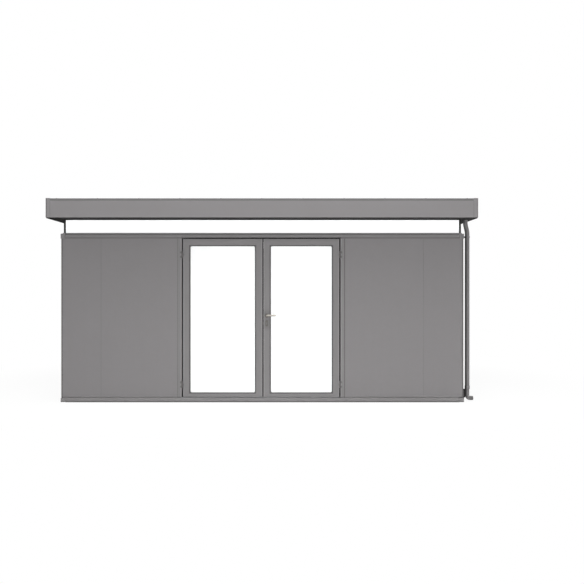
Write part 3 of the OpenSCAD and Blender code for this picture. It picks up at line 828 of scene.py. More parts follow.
class SHED_OT_walls(Build):
    """Wall sheets, corner posts, tracks and the strips over the joints"""

    bl_idname = "shed.walls"
    bl_label = "Walls"

    def execute(self, context):
        folds = context.scene.shed_folds
        for node in ("front_wall_left", "front_wall_right", "back_wall", "left_wall", "right_wall"):
            folded(node, "shed", "wall", folds.sheet_fold, 3)
        self.posts(folds)
        self.tracks()
        folded("wall_joint_strips", "shed", "lining", SMALL_EDGE)
        self.sealant()
        return {"FINISHED"}

    def posts(self, folds):
        """Corner posts, a little wider at the sides than their nodes."""
        bm = node_mesh("corner_posts")
        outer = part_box("corner_posts")[1].x
        rounding = 0.0045
        for v in bm.verts:
            if abs(v.co.x) > outer - rounding:
                v.co.x += copysign(CORNER_WIDENING, v.co.x)
        piece("corner_posts_folded", bm, "shed", "post", ["corner_posts"],
              edge=folds.profile_edge)

    def tracks(self):
        """Tracks under the walls. The front and back ones run on to the corner posts."""
        bm = node_mesh("wall_tracks")
        floor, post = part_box("floor_panel")[1], solids("corner_posts")[-1][0]
        gap = 0.001
        for v in bm.verts:
            if abs(v.co.y) > floor.y + gap and abs(v.co.x) > floor.x - gap:
                v.co.x = copysign(post.x - gap, v.co.x)
        piece("wall_tracks_folded", bm, "shed", "track", ["wall_tracks"],
              SMALL_EDGE)

    def sealant(self):
        """A bead of sealant in each joint between two wall sheets, just behind their faces."""
        bm = bmesh.new()
        depth = 0.004
        for node, along in (("front_wall_left", 0), ("front_wall_right", 0), ("back_wall", 0),
                            ("left_wall", 1), ("right_wall", 1)):
            sheets = sorted(solids(node), key=lambda b: b[0][along])
            for (lo, hi), (lo2, _) in zip(sheets, sheets[1:]):
                a, b = hi[along], lo2[along]
                out, face = outer_face(lo, hi, along)
                back = face - out * depth
                hollow = [(a, 0.0006), (a + (b - a) * 0.25, 0.001), (a + (b - a) * 0.75, 0.001),
                          (b, 0.0006)]
                outline = [(u, face - out * d) for u, d in hollow] + [(b, back), (a, back)]

                def place(u, v, w, along=along, low=lo.z):
                    return Vector((u, v, low + w) if along == 0 else (v, u, low + w))

                slab(bm, outline, place, hi.z - lo.z)
        piece("wall_joint_sealant", bm, "shed", "joint")


class SHED_OT_door_frame(Build):
    """Jambs, stops with their seals, and the ribbed threshold"""

    bl_idname = "shed.door_frame"
    bl_label = "Door frame"

    def execute(self, context):
        folds = context.scene.shed_folds
        seal = bmesh.new()
        for node, end, width in (("left_jamb", 0, 0.0035), ("right_jamb", 1, 0.009)):
            folded(node, "shed", "jamb", folds.profile_edge)
            lo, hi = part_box(node)
            x = (lo, hi)[end].x
            strip(seal, (x, lo.y, lo.z), (x, lo.y, hi.z), width, 0.0006, (0, -1, 0))
        piece("jamb_sealant", seal, "shed", "bead")
        folded("door_stops", "shed", "trim", SMALL_EDGE)
        self.threshold()
        self.stop_seal()
        return {"FINISHED"}

    def threshold(self):
        """A ribbed strip over the threshold."""
        lo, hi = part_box("threshold")
        bm = bmesh.new()
        ribs, count, margin, deep = [], 5, 0.006, 0.0015
        top, valley = hi.z, hi.z - deep
        pitch = (hi.y - lo.y - 2 * margin) / count
        for k in range(count):
            y = lo.y + margin + pitch * k
            ribs += [(y, valley), (y + deep, top), (y + pitch - 2 * deep, top),
                     (y + pitch - deep, valley)]
        outline = [(lo.y, lo.z), (lo.y, top - 2 * deep), (lo.y + 2 * deep, valley), *ribs,
                   (hi.y, valley), (hi.y, lo.z)]
        slab(bm, outline, lambda u, v, w: Vector((lo.x + w, u, v)), hi.x - lo.x)
        piece("threshold_strip", bm, "shed", "zinc", ["threshold"])

    def stop_seal(self):
        """A rubber bulb on the stops, which the leaves close against."""
        stops = solids("door_stops")
        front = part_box("door_stops")[0].y
        left, right = stops[0][0].x, max(b[1].x for b in stops)
        low, high = stops[0][0].z, max(b[1].z for b in stops)
        reach = min(b[1].x - b[0].x for b in stops)
        bm = bmesh.new()
        bulb = [(0.0022 * cos(a), -0.0005 - 0.0034 * sin(a))
                for a in (pi * k / 6 for k in range(7))]
        inset = 0.55 * reach
        left, right, low, high = left + inset, right - inset, low + 0.001, high - inset
        corners = [(left, low), (left, high), (right, high), (right, low)]
        across = [Vector((1, 0, 0)), Vector((1, 0, -1)), Vector((-1, 0, -1)), Vector((-1, 0, 0))]
        capped(bm, [
            [Vector((x, front + v, z)) + way * u for u, v in bulb]
            for (x, z), way in zip(corners, across)
        ])
        piece("door_stop_seal", bm, "shed", "rubber")


class SHED_OT_doors(Build):
    """Both leaves: welded profiles, glazing beads, gaskets and panes"""

    bl_idname = "shed.doors"
    bl_label = "Door leaves"

    def execute(self, context):
        folds = context.scene.shed_folds
        for side in ("left", "right"):
            body = side + "_door"
            stiles, rails = solids(body + "_stiles"), solids(body + "_rails")
            lo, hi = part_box(body + "_stiles")
            pane_lo, pane_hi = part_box(body + "_pane")
            beads = solids(body + "_beads")
            bead_front = min(b[0].y for b in beads)
            bead_back = max(b[1].y for b in beads)
            width = min(b[1].x - b[0].x for b in beads)
            overlap = 0.0022 if side == "left" else 0.001
            inner = (stiles[0][1].x, stiles[1][0].x - overlap,
                     min(b[1].z for b in rails), max(b[0].z for b in rails))
            self.profiles(body, lo, hi, inner, folds)
            self.beads(body, inner, width, bead_front, pane_lo.y, bead_back, pane_hi.y, folds)
            dress(body + "_pane", "glass")
            self.sweep(body, lo, hi)
        self.cover_strip()
        return {"FINISHED"}

    def profiles(self, body, lo, hi, inner, folds):
        """The four profiles of a leaf, mitred and welded into one frame."""
        e, r = folds.leaf_edge, folds.profile_edge
        corner, inner_corner, steps = 0.001, 0.004, 4
        outer = (lo.x, hi.x, lo.z, hi.z)
        bend = [radians(90 * k / steps) for k in range(steps + 1)]
        front_out = [(e - e * cos(a), lo.y + e - e * sin(a)) for a in bend]
        front_in = [(r - r * sin(a), lo.y + r - r * cos(a)) for a in bend]
        back_in = [(r - r * cos(a), hi.y - r + r * sin(a)) for a in bend]
        back_out = [(e - e * sin(a), hi.y - e + e * cos(a)) for a in bend]
        bm = bmesh.new()

        def row(box, inset, radius, y):
            x0, x1, z0, z1 = box
            return [Vector((u, y, v)) for u, v in
                    rounded(x0 + inset, x1 - inset, z0 + inset, z1 - inset, radius)]

        rows = [row(outer, d, corner, y) for d, y in front_out]
        rows += [row(inner, -d, inner_corner + d, y) for d, y in front_in + back_in]
        rows += [row(outer, d, corner, y) for d, y in back_out]
        join_rows(bm, rows, closed=True)
        piece(body + "_frame", bm, body, "leaf",
              [body + "_stiles", body + "_rails"])

    def beads(self, body, inner, width, front, pane_front, back, pane_back, folds):
        """Bead and gasket rings on both sides of a pane."""
        corner, lip = folds.glass_corner, folds.gasket
        bm, seal = bmesh.new(), bmesh.new()
        for face, glass, way in ((front, pane_front, 1), (back, pane_back, -1)):
            fall = 0.62 * abs(glass - face)
            reach = width - 0.0015
            hoop(bm, inner, [
                (0.0, 0.004, face), (0.004, 0.006, face),
                (0.006, 0.007, face + way * 0.0006),
                (reach - 0.002, corner - 0.001, face + way * fall),
                (reach - 0.0006, corner, face + way * (fall + 0.001)),
                (reach - 0.0006, corner, glass), (0.0, 0.004, glass),
            ])
            hoop(seal, inner, [
                (reach - 0.004, corner - 0.002, glass - way * 0.004),
                (reach + lip * 0.5, corner, glass - way * 0.0042),
                (reach + lip, corner + 0.001, glass - way * 0.002),
                (reach + lip, corner + 0.001, glass), (reach - 0.004, corner - 0.002, glass),
            ])
        piece(body + "_bead_ring", bm, body, "bead", [body + "_beads"])
        piece(body + "_gasket", seal, body, "rubber")

    def sweep(self, body, lo, hi):
        """A brush seal in a holder along the lower edge of a leaf, clear of the threshold."""
        clearance, end = 0.0018, 0.003
        y = lo.y + 0.006
        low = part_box("threshold")[1].z + clearance
        outline = [(y, lo.z), (y, lo.z - 0.002), (y + 0.003, low + 0.001), (y + 0.0045, low),
                   (y + 0.0075, low), (y + 0.009, low + 0.001), (y + 0.012, lo.z - 0.002),
                   (y + 0.012, lo.z)]
        bm = bmesh.new()
        slab(bm, outline, lambda u, v, w: Vector((lo.x + end + w, u, v)), hi.x - lo.x - 2 * end)
        piece(body + "_sweep", bm, body, "brush")

    def cover_strip(self):
        """A seal on the left leaf's free edge, which closes the joint between the leaves."""
        lo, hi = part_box("left_door_stiles")
        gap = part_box("right_door_stiles")[0].x - hi.x
        bm = bmesh.new()
        y, end = lo.y + 0.018, 0.004
        side, crest = gap * 0.78, gap * 0.86
        outline = [(0, y), (side, y + 0.002), (crest, y + 0.004), (side, y + 0.006),
                   (0, y + 0.008)]
        slab(bm, outline, lambda u, v, w: Vector((hi.x + u, v, lo.z + end + w)),
             hi.z - lo.z - 2 * end)
        piece("left_door_edge_seal", bm, "left_door", "trim")


class SHED_OT_hinges(Build):
    """Barrel hinges with pins, caps, rounded plates and screws"""

    bl_idname = "shed.hinges"
    bl_label = "Hinges"

    def execute(self, context):
        jamb_front, leaf_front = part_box("left_jamb")[0].y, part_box("left_door_stiles")[0].y
        gap, pin_end = 0.0006, 0.0004
        jamb_boxes = solids("jamb_hinges")
        middle = sum(corner.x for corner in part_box("jamb_hinges")) / 2
        fixed, fixed_plates, pins = bmesh.new(), bmesh.new(), bmesh.new()
        for side in ("left", "right"):
            moving, plates = bmesh.new(), bmesh.new()
            for lo, hi in solids(side + "_door_hinges"):
                way = 1 if side == "left" else -1
                radius = self.barrel_radius(lo)
                axis_x = lo.x + radius if side == "left" else hi.x - radius
                axis_y = lo.y + radius
                knuckle = hi.z - lo.z
                jamb_lo, jamb_hi = min(
                    (b for b in jamb_boxes if (b[0].x < middle) == (side == "left")),
                    key=lambda b: abs(b[0].z + b[1].z - lo.z - hi.z),
                )
                self.knuckle(moving, axis_x, axis_y, lo.z, hi.z, radius)
                self.plate(plates, axis_x, way * (hi.x - lo.x - radius), lo.z, hi.z, leaf_front)
                reach = axis_x - jamb_lo.x if side == "left" else jamb_hi.x - axis_x
                for z0, z1 in ((jamb_lo.z, lo.z - gap), (hi.z + gap, jamb_hi.z)):
                    self.knuckle(fixed, axis_x, axis_y, z0, z1, radius)
                    self.plate(fixed_plates, axis_x, -way * reach, z0, z1, jamb_front)
                head, shank, top = radius * 0.62, radius * 0.45, jamb_hi.z - jamb_lo.z - pin_end
                turned(pins, (axis_x, axis_y, jamb_lo.z), (0, 0, 1), [
                    (pin_end, 0), (pin_end, head), (knuckle, shank), (knuckle * 2, shank),
                    (top, head), (top, 0),
                ], 24)
            piece(side + "_leaf_hinges", moving, side + "_door", "hinge",
                  [side + "_door_hinges"])
            piece(side + "_hinge_plates", plates, side + "_door", "frame")
        piece("jamb_hinge_plates", fixed_plates, "shed", "hinge")
        piece("jamb_leaf_hinges", fixed, "shed", "hinge", ["jamb_hinges"])
        piece("hinge_pins", pins, "shed", "steel")
        return {"FINISHED"}

    def barrel_radius(self, lo):
        """From the axis that the leaves swing about to the barrel's front."""
        swing = next(j for j in frame["joints"] if j["name"] == "left_door_swing")
        return swing["pos_m"][1] - lo.y

    def knuckle(self, bm, x, y, z0, z1, radius):
        """One length of a hinge's barrel, with eased ends."""
        ease = 0.0008
        turned(bm, (x, y, z0), (0, 0, 1), [
            (0, 0), (0, radius - ease), (ease, radius), (z1 - z0 - ease, radius),
            (z1 - z0, radius - ease), (z1 - z0, 0),
        ])

    def plate(self, bm, x, reach, z0, z1, back):
        """A plate from the barrel to its screws, with rounded free corners."""
        corner, gap, thick = 0.004, 0.0006, 0.0035
        lo, hi = corner, abs(reach)
        way = 1 if reach > 0 else -1
        z0, z1 = z0 + gap, z1 - gap
        bend = [radians(15 * k) for k in range(7)]
        outline = [(lo, z0)]
        outline += [(hi - corner + corner * sin(a), z0 + corner - corner * cos(a)) for a in bend]
        outline += [(hi - corner + corner * cos(a), z1 - corner + corner * sin(a)) for a in bend]
        outline += [(lo, z1)]
        slab(bm, outline, lambda u, v, w: Vector((x + way * u, back - w, v)), thick)
        inset, head = 0.008, 0.0034
        screw(bm, (x + way * (hi - inset), back - thick, (z0 + z1) / 2), (0, -1, 0), head)


class SHED_OT_lock_set(Build):
    """Lever handles, round plates, oval key plates and the lock cylinder"""

    bl_idname = "shed.lock_set"
    bl_label = "Lever and lock"

    def execute(self, context):
        plates = solids("lock_plates")
        front, rear = (corner.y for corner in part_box("left_door_stiles"))
        spindle_lo, spindle_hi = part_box("lever_spindle")
        axis = (spindle_lo + spindle_hi) / 2
        bm, core = bmesh.new(), bmesh.new()
        for lo, hi in plates:
            out = -1 if lo.y < front else 1
            face = front if out < 0 else rear
            centre = Vector(((lo.x + hi.x) / 2, face, (lo.z + hi.z) / 2))
            round_one = abs((hi.z - lo.z) - (hi.x - lo.x)) < 0.005
            deep = abs((lo.y if out < 0 else hi.y) - face)
            if round_one:
                r = (hi.x - lo.x) / 2
                turned(bm, centre, (0, out, 0), [
                    (0, 0), (0, r), (deep - 0.0025, r), (deep - 0.001, r - 0.0008),
                    (deep, r - 0.0028), (deep, 0.0115), (deep - 0.001, 0.0105), (deep - 0.001, 0),
                ], 48)
            else:
                thick = deep - 0.003
                rows = []
                for w, inset in ((0, 0), (thick - 0.002, 0), (thick - 0.0007, 0.0007),
                                 (thick, 0.0024)):
                    half, high = (hi.x - lo.x) / 2 - inset, (hi.z - lo.z) / 2 - inset
                    rows.append([Vector((centre.x + u, face + out * w, centre.z + v))
                                 for u, v in rounded(-half, half, -high, high, half - 1e-5, 8)])
                capped(bm, rows)
                outside = Vector((centre.x, face + out * thick, centre.z))
                self.cylinder(core, outside, out, deep - thick)
                key_z = centre.z
        piece("lock_plates_turned", bm, "right_door", "plate", ["lock_plates"])
        piece("lock_cylinders", core, "right_door", "core")
        self.levers(axis)
        self.forend(axis.z, key_z)
        return {"FINISHED"}

    def forend(self, latch_z, key_z):
        """The lock case's face on the leaf's free edge, with its latch and its bolt."""
        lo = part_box("right_door_stiles")[0]
        bm = bmesh.new()
        for y0, y1, z0, z1, out in (
            (0.003, 0.023, key_z - 0.07, latch_z + 0.08, 0.0008),
            (0.006, 0.016, latch_z - 0.009, latch_z + 0.009, 0.007),
            (0.006, 0.016, key_z - 0.017, key_z + 0.017, 0.007),
        ):
            slab(bm, rounded(lo.y + y0, lo.y + y1, z0, z1, 0.003),
                 lambda u, v, w: Vector((lo.x - w, u, v)), out)
        piece("lock_forend", bm, "right_door", "plate")

    def cylinder(self, bm, centre, out, depth):
        """A profile cylinder: a round plug over a narrower web, with a keyway."""
        plug, web, low = 0.0085, 0.005, -0.012
        outline = [(plug * sin(radians(a)), 0.004 + plug * cos(radians(a)))
                   for a in range(-144, 145, 12)]
        outline += [(web, low)]
        outline += [(web * cos(radians(a)), low - web * sin(radians(a)))
                    for a in range(20, 161, 20)]
        outline += [(-web, low)]
        slab(bm, outline, lambda u, v, w: centre + Vector((u, out * w, v)), depth * 0.5)
        turned(bm, centre + Vector((0, out * depth * 0.5, 0.004)), (0, out, 0), [
            (0, 0.0068), (depth * 0.4, 0.0068), (depth * 0.5, 0.0062), (depth * 0.5, 0.0012),
            (depth * 0.2, 0.001), (depth * 0.2, 0),
        ], 28)

    def levers(self, axis):
        """Straight levers on round necks, one on each side, with the spindle between them."""
        boxes = sorted(solids("lever_handles"), key=lambda b: b[0].y)
        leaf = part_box("left_door_stiles")
        bend, round_neck, flat_lever = 0.014, 0.98, 0.62
        bm = bmesh.new()
        for (lo, hi), out in zip(boxes, (-1, 1)):
            mid = (lo.y + hi.y) / 2
            deep, high = (hi.y - lo.y) / 2, (hi.z - lo.z) / 2 - 0.001
            end = hi.x
            root = leaf[0].y - LOCK_PROUD if out < 0 else leaf[1].y + LOCK_PROUD
            path = [Vector((axis.x, root, axis.z)), Vector((axis.x, root + out * 0.004, axis.z)),
                    Vector((axis.x, mid - out * bend, axis.z))]
            path += [Vector((axis.x + bend - bend * cos(radians(a)),
                             mid - out * bend + out * bend * sin(radians(a)),
                             axis.z + LEVER_RISE * a / 90))
                     for a in (22.5, 45, 67.5)]
            path += [Vector((x, mid, axis.z + LEVER_RISE)) for x in
                     (axis.x + bend, axis.x + 0.04, axis.x + 0.08, end - 0.006, end - 0.0015, end)]
            widths = [0.0095] + [0.0085] * 6 + [0.008, 0.0078, 0.0075, 0.0066, 0.0045]
            heights = [0.0095, 0.0085, 0.0085, 0.0088, 0.0092, 0.0097, high, high, high,
                       high - 0.0002, high - 0.0016, high - 0.005]
            rows = []
            for i, p in enumerate(path):
                a, b = path[max(i - 1, 0)], path[min(i + 1, len(path) - 1)]
                along = (b - a).normalized()
                side = along.cross(Vector((0, 0, 1))).normalized()
                w, h = min(widths[i], deep + 0.001), heights[i]
                soft = min(w, h) * (round_neck if i < 5 else flat_lever)
                rows.append([p + side * u + Vector((0, 0, v))
                             for u, v in rounded(-w, w, -h, h, soft, 6)])
            capped(bm, rows)
        spindle, overlap = 0.004, 0.0001
        turned(bm, Vector((axis.x, leaf[0].y - LOCK_PROUD - overlap, axis.z)), (0, 1, 0), [
            (0, spindle), (0.0622, spindle),
        ], 16)
        piece("levers_swept", bm, "lever", "lever",
              ["lever_handles", "lever_spindle"], sharp=50)


class SHED_OT_ring_beam(Build):
    """The ring beam over the walls with its corner connectors"""

    bl_idname = "shed.ring_beam"
    bl_label = "Ring beam"

    def execute(self, context):
        folds = context.scene.shed_folds
        # Painted shade: the wall caps and the beams' sloped faces take the darker slope coating.
        folded("wall_caps", "shed", "slope", SMALL_EDGE)
        beams = folded("ring_beams", "shed", "frame", folds.profile_edge)
        second_coat(beams, "slope", sloped)
        self.corners()
        return {"FINISHED"}

    def corners(self):
        """Corner connectors that step down beside the band's posts."""
        step, slope_start, slope_end = 0.0085, 0.0005, 0.003
        corners = node_mesh("ring_beam_corners")
        post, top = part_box("band_posts")[1].x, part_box("ring_beam_corners")[1].z
        for x in (post + slope_start, post + slope_end):
            for side in (1, -1):
                bmesh.ops.bisect_plane(
                    corners, geom=corners.verts[:] + corners.edges[:] + corners.faces[:],
                    plane_co=(side * x, 0, 0), plane_no=(1, 0, 0),
                )
        for v in corners.verts:
            if abs(v.co.x) > post + 0.002 and v.co.z > top - NEAR:
                v.co.z -= step
        piece("ring_beam_corners_stepped", corners, "shed", "frame",
              ["ring_beam_corners"], SMALL_EDGE)


class SHED_OT_light_band(Build):
    """The glazed band under the roof: posts, panes and trims"""

    bl_idname = "shed.light_band"
    bl_label = "Light band"

    def execute(self, context):
        folds = context.scene.shed_folds
        folded("band_posts", "shed", "trim", folds.profile_edge)
        rise = 0.0012
        trims, panes = node_mesh("band_trims"), node_mesh("band_panes")
        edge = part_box("band_trims")[0].z
        for bm in (trims, panes):
            for v in bm.verts:
                if abs(v.co.z - edge) < NEAR:
                    v.co.z += rise
        piece("band_trims_folded", trims, "shed", "trim", ["band_trims"], SMALL_EDGE)
        piece("band_panes_set", panes, "shed", "band", ["band_panes"])
        self.seal(rise)
        return {"FINISHED"}

    def seal(self, rise):
        """Seals along both ends and the upper edge of each pane."""
        side_width, top_width, proud = 0.006, 0.002, 0.0015
        seal = bmesh.new()
        for lo, hi in solids("band_panes"):
            along = 0 if hi.x - lo.x > hi.y - lo.y else 1
            out = Vector((0, 0, 0))
            out[1 - along], face = outer_face(lo, hi, along)
            ends = []
            top = hi.z + rise
            for u, z in ((lo[along], lo.z), (lo[along], top), (hi[along], top), (hi[along], lo.z)):
                point = Vector((0, 0, z))
                point[along], point[1 - along] = u, face
                ends.append(point)
            for a, b, width in ((0, 1, side_width), (1, 2, top_width), (2, 3, side_width)):
                strip(seal, ends[a], ends[b], width, proud, out)
        piece("band_seal", seal, "shed", "rubber")


class SHED_OT_roof_edge(Build):
    """Fascias with their flashing, corner caps, soffit and ceiling"""

    bl_idname = "shed.roof_edge"
    bl_label = "Roof edge"

    def execute(self, context):
        folds = context.scene.shed_folds
        rise, cap_rise, reveal, flush = 0.002, 0.0045, 0.0005, 0.0005
        fascias = self.hemmed("fascias", "roof", folds.profile_edge, rise)
        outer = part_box("fascias")[1].y
        step = max(v.co.z for v in fascias.data.vertices if v.co.y > outer - flush)
        second_coat(fascias, "flashing", lambda face: face.center.z > step - NEAR)
        self.hemmed("fascia_corners", "cap", folds.profile_edge, cap_rise)
        boards = node_mesh("soffit")
        inner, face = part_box("soffit")[1].x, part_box("fascias")[1].x
        for v in boards.verts:
            if abs(v.co.x) > inner - NEAR:
                v.co.x = copysign(face - reveal, v.co.x)
        piece("soffit_boards", boards, "shed", "soffit", ["soffit"], SMALL_EDGE)
        self.side_drips(face)
        dress("ceiling", "lining")
        self.cap_seal(step)
        return {"FINISHED"}

    def hemmed(self, node, look, edge, rise):
        """A node whose lower edge stops just above the soffit's face and whose top is raised.

        The lower edges of its ends stand upright under their faces.
        """
        bm = node_mesh(node)
        low, high = (corner.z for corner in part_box(node))
        inner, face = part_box("soffit")[1].x + 0.003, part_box("fascias")[1].x
        for v in bm.verts:
            if v.co.z > high - NEAR:
                v.co.z += rise
            if v.co.z < low + NEAR:
                v.co.z += SOFFIT_SHADOW
                if inner < abs(v.co.x) < face:
                    v.co.x = copysign(face, v.co.x)
        return piece(node + "_hemmed", bm, "shed", look, [node], edge)

    def side_drips(self, face):
        """Drip profiles along the soffit's two side edges, with a slanted inner flange."""
        bm = bmesh.new()
        low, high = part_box("soffit")
        end, ease = 0.004, 0.0008
        profile = [(0.0005, 0.002), (0.0005, ease - DRIP), (0.0012, -DRIP), (0.0022, -DRIP),
                   (0.003, ease - DRIP), (0.014, 0.002)]
        for side in (1, -1):
            capped(bm, [
                [Vector((side * (face - inward), y, low.z + rise)) for inward, rise in profile]
                for y in (low.y + end, high.y - end)
            ])
        piece("side_drips", bm, "shed", "soffit")

    def cap_seal(self, step):
        """Sealant in the corner where a corner cap laps over the fascias."""
        bm = bmesh.new()
        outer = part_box("fascias")[1]
        for lo, hi in solids("fascia_corners"):
            east, north = (1 if hi.x > 0 else -1), (1 if hi.y > 0 else -1)
            inner = Vector((lo.x if east > 0 else hi.x, lo.y if north > 0 else hi.y, lo.z + 0.002))
            top = step - inner.z
            for place, out in (
                (Vector((inner.x, north * outer.y, inner.z)), (0, north, 0)),
                (Vector((east * outer.x, inner.y, inner.z)), (east, 0, 0)),
            ):
                strip(bm, place, place + Vector((0, 0, top)), 0.004, 0.001, out)
        piece("cap_sealant", bm, "shed", "bead")


class SHED_OT_roof_sheet(Build):
    """The roof's trays between standing seams, with stiffening ribs"""

    bl_idname = "shed.roof_sheet"
    bl_label = "Roof sheet"

    def execute(self, context):
        folds = context.scene.shed_folds
        lo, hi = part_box("roof_deck")
        top = hi.z
        seams = solids("roof_seams")
        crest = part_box("roof_seams")[1].z
        r = folds.seam_fold
        line = [(lo.x, top)]
        last = lo.x
        foot, thin = 0.003, 0.001
        bend = [radians(22.5 * k) for k in range(5)]
        for seam_lo, seam_hi in seams:
            self.ribs(line, last, seam_lo.x, top, folds.rib)
            a, b = seam_lo.x + thin, seam_hi.x - thin
            line += [(seam_lo.x - foot, top), (a, top + foot)]
            line += [(a + r - r * cos(t), crest - r + r * sin(t)) for t in bend]
            line += [(b - r + r * sin(t), crest - r + r * cos(t)) for t in bend]
            line += [(b, top + foot), (seam_hi.x + foot, top)]
            last = seam_hi.x
        self.ribs(line, last, hi.x, top, folds.rib)
        line.append((hi.x, top))
        bm = bmesh.new()
        rows = join_rows(bm, [
            [Vector((x, y, z)) for x, z in line] for y in (lo.y, hi.y)
        ], closed_row=False)
        under = join_rows(bm, [
            [Vector((x, y, lo.z)) for x, z in line] for y in (hi.y, lo.y)
        ], closed_row=False)
        upper_front, upper_back, lower_back, lower_front = rows[0], rows[1], under[0], under[1]
        for a, b in ((upper_front, lower_front), (upper_back, lower_back)):
            for i in range(len(a) - 1):
                bm.faces.new((a[i], a[i + 1], b[i + 1], b[i]))
        for i in (0, -1):
            bm.faces.new((upper_front[i], upper_back[i], lower_back[i], lower_front[i]))
        piece("roof_trays", bm, "shed", "roof", ["roof_deck", "roof_seams"], sharp=50)
        self.outlet(top)
        return {"FINISHED"}

    def ribs(self, line, x0, x1, top, height):
        """Two low ribs in a tray that is wide enough."""
        foot, crown, narrowest = 0.012, 0.007, 0.3
        if x1 - x0 < narrowest:
            return
        for part in (1 / 3, 2 / 3):
            x = x0 + (x1 - x0) * part
            line += [(x - foot, top), (x - crown, top + height), (x + crown, top + height),
                     (x + foot, top)]

    def outlet(self, top):
        """A leaf guard over the outlet above the swan neck."""
        lo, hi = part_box("swan_neck")
        pipe_lo, pipe_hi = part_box("downpipe")
        radius = (pipe_hi.x - pipe_lo.x) / 2
        centre = Vector((lo.x + radius, (lo.y + hi.y) / 2, top))
        bm = bmesh.new()
        turned(bm, centre, (0, 0, 1), [
            (0, 0), (0, 0.042), (0.002, 0.042), (0.003, 0.040), (0.003, 0.031), (0.004, 0.030),
            (0.006, 0.030), (0.006, 0),
        ], 40)
        for k in range(12):
            a = radians(30 * k)
            way = Vector((cos(a), sin(a), 0))
            side = Vector((-way.y, way.x, 0)) * 0.0011
            rows = [[centre + way * r + side * s + Vector((0, 0, z + t))
                     for s, t in ((-1, 0), (1, 0), (1, 0.002), (-1, 0.002))]
                    for r, z in ((0.031, 0.003), (0.030, 0.012), (0.024, 0.018), (0.012, 0.0205),
                                 (0.002, 0.021))]
            capped(bm, rows)
        piece("roof_outlet_guard", bm, "shed", "trim", sharp=50)


class SHED_OT_rainwater(Build):
    """Swan neck, downpipe, shoe and brackets"""

    bl_idname = "shed.rainwater"
    bl_label = "Downpipe"

    def execute(self, context):
        sides = context.scene.shed_folds.pipe_sides
        pipe_lo, pipe_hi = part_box("downpipe")
        neck_lo, neck_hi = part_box("swan_neck")
        shoe_lo, shoe_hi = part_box("downpipe_shoe")
        radius = (pipe_hi.x - pipe_lo.x) / 2
        x, y = (pipe_lo.x + pipe_hi.x) / 2, (pipe_lo.y + pipe_hi.y) / 2
        neck_x = neck_lo.x + radius

        bm = bmesh.new()
        path = [Vector((x, y, z)) for z in (pipe_lo.z, pipe_hi.z)]
        tube(bm, path, [radius, radius], PIPE_WALL, sides)
        piece("downpipe_drawn", bm, "shed", "pipe", ["downpipe"])

        bm = bmesh.new()
        ease, down = 0.03, Vector((0, 0, -1))
        upper, lower = neck_hi.z - NECK_UPPER, neck_hi.z - NECK_LOWER
        lean = atan2(x - neck_x, upper - lower)
        aslant = Vector((sin(lean), 0, -cos(lean)))
        path = [Vector((neck_x, y, neck_hi.z))]
        path += self.bend(Vector((neck_x, y, upper)), down, aslant, ease)
        path += self.bend(Vector((x, y, lower)), aslant, down, ease)
        path += [Vector((x, y, neck_lo.z))]
        tube(bm, path, [radius] * len(path), PIPE_WALL, sides)
        piece("swan_neck_bent", bm, "shed", "pipe", ["swan_neck"])

        bm = bmesh.new()
        inner, collar, rim = radius - PIPE_WALL, radius + 0.003, 0.001
        drop, shorter, turn = 0.006, 0.004, 0.032
        axis_z = shoe_lo.z + inner - drop
        path = [Vector((x, y, shoe_hi.z - t)) for t in (0, rim, 0.0385, 0.0395, 0.0415)]
        radii = [collar - rim, collar, collar, collar - rim, inner]
        bend = arc((x + turn, y, axis_z + turn), 180, 270, turn, 14)
        path += bend + [Vector((shoe_hi.x - shorter, y, axis_z))]
        radii += [inner] * (len(bend) + 1)
        tube(bm, path, radii, PIPE_WALL, sides)
        piece("shoe_bent", bm, "shed", "pipe", ["downpipe_shoe"], sharp=50)

        brackets = folded("pipe_brackets", "shed", "trim", 0.0008)
        second_coat(brackets, "pipe", lambda face: face.center.x > pipe_lo.x - 0.001)
        self.holder_foot()
        return {"FINISHED"}

    def holder_foot(self):
        """The lower holder's foot, which narrows downwards beside the base rail."""
        low, high = min(solids("pipe_brackets"), key=lambda b: b[0].z)
        gap, bottom = 0.0005, low.z - HOLDER_FOOT
        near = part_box("base_rails")[1].x + gap
        outline = [(near, low.z + 0.003), (high.x, low.z + 0.003), (high.x, low.z - 0.005),
                   (near + 0.04, bottom + 0.012), (near + 0.022, bottom), (near, bottom)]
        bm = bmesh.new()
        capped(bm, [[Vector((x, y, z)) for x, z in outline] for y in (low.y + gap, high.y - gap)])
        piece("holder_foot", bm, "shed", "trim")

    def bend(self, corner, before, after, ease):
        """Points that round a corner between two directions."""
        start, end = corner - before * ease, corner + after * ease
        return [
            start * (1 - t) ** 2 + corner * 2 * t * (1 - t) + end * t ** 2
            for t in (k / 8 for k in range(9))
        ]


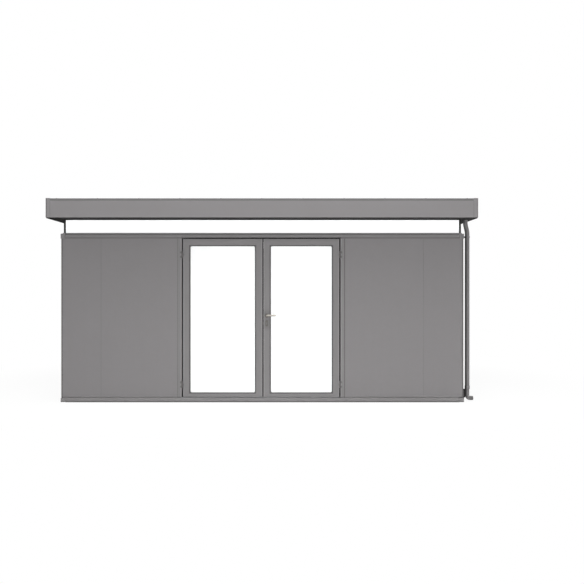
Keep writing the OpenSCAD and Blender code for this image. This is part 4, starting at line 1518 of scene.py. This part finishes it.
class SHED_OT_stage(Build):
    """Studio floor, even light, two large lamps and the camera"""

    bl_idname = "shed.stage"
    bl_label = "Stage"

    def execute(self, context):
        scene = context.scene
        s = scene.shed_stage

        bm = bmesh.new()
        half_width, below = 40.0, 0.0002
        grid = bmesh.ops.create_grid(bm, x_segments=8, y_segments=8, size=half_width)["verts"]
        for v in grid:
            v.co.z -= below
        mesh = bpy.data.meshes.new("studio_floor")
        bm.to_mesh(mesh)
        bm.free()
        floor = bpy.data.objects.new("studio_floor", mesh)
        scene.collection.objects.link(floor)
        mesh.materials.append(studio_floor("studio_floor", s.floor, 0.9))

        scene.world = studio_sky("studio_sky", s.sky, s.zenith)
        self.lamp(scene, "top_lamp", (0.7, -3.1, 12.0), (0.7, -3.1, 0), (8.0, 2.8), s.top_lamp, 36)
        self.lamp(scene, "front_lamp", (1.2, -11.0, 3.0), (0.2, 0, 1.2), (6.0, 4.0),
                  s.front_lamp, 180)

        camera = bpy.data.objects.new("camera", bpy.data.cameras.new("camera"))
        scene.collection.objects.link(camera)
        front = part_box("fascias")[0].y
        camera.location = (s.camera_x, front - s.camera_distance, s.camera_height)
        camera.rotation_euler = (radians(90), 0, 0)
        camera.data.lens, camera.data.sensor_width = s.lens, 36.0
        camera.data.shift_x, camera.data.shift_y = s.shift_x, s.shift_y
        camera.data.clip_end = 200
        scene.camera = camera
        scene.view_settings.view_transform = "Standard"
        return {"FINISHED"}

    def lamp(self, scene, name, place, target, size, power, spread):
        """A wide lamp that looks at a target, with a grid that narrows its spread in degrees."""
        light = bpy.data.lights.new(name, "AREA")
        light.shape, light.size, light.size_y, light.energy = "RECTANGLE", *size, power
        light.spread = radians(spread)
        made = bpy.data.objects.new(name, light)
        made.location = place
        made.rotation_mode = "QUATERNION"
        made.rotation_quaternion = (Vector(target) - Vector(place)).to_track_quat("-Z", "Y")
        scene.collection.objects.link(made)


OPERATORS = (
    SHED_OT_base, SHED_OT_walls, SHED_OT_door_frame, SHED_OT_doors, SHED_OT_hinges,
    SHED_OT_lock_set, SHED_OT_ring_beam, SHED_OT_light_band, SHED_OT_roof_edge,
    SHED_OT_roof_sheet, SHED_OT_rainwater, SHED_OT_stage,
)


class SHED_PT_panel(bpy.types.Panel):
    """Lists the shed's parts and settings in the sidebar"""

    bl_idname = "SHED_PT_panel"
    bl_label = "Metal Shed"
    bl_space_type = "VIEW_3D"
    bl_region_type = "UI"
    bl_category = "Shed"

    def draw(self, context):
        layout = self.layout
        for made in OPERATORS:
            layout.operator(made.bl_idname)
        scene = context.scene
        for group in (scene.shed_folds, scene.shed_colours, scene.shed_stage):
            box = layout.box()
            for name in group.bl_rna.properties.keys():
                if name not in ("rna_type", "name"):
                    box.prop(group, name)


CLASSES = (ShedColours, ShedFolds, ShedStage, *OPERATORS, SHED_PT_panel)


def register():
    for made in CLASSES:
        bpy.utils.register_class(made)
    bpy.types.Scene.shed_colours = PointerProperty(type=ShedColours)
    bpy.types.Scene.shed_folds = PointerProperty(type=ShedFolds)
    bpy.types.Scene.shed_stage = PointerProperty(type=ShedStage)


def unregister():
    del bpy.types.Scene.shed_stage, bpy.types.Scene.shed_folds, bpy.types.Scene.shed_colours
    for made in reversed(CLASSES):
        bpy.utils.unregister_class(made)


def main():
    register()
    for made in OPERATORS:
        space, name = made.bl_idname.split(".")
        getattr(getattr(bpy.ops, space), name)()


if __name__ == "__main__":
    main()
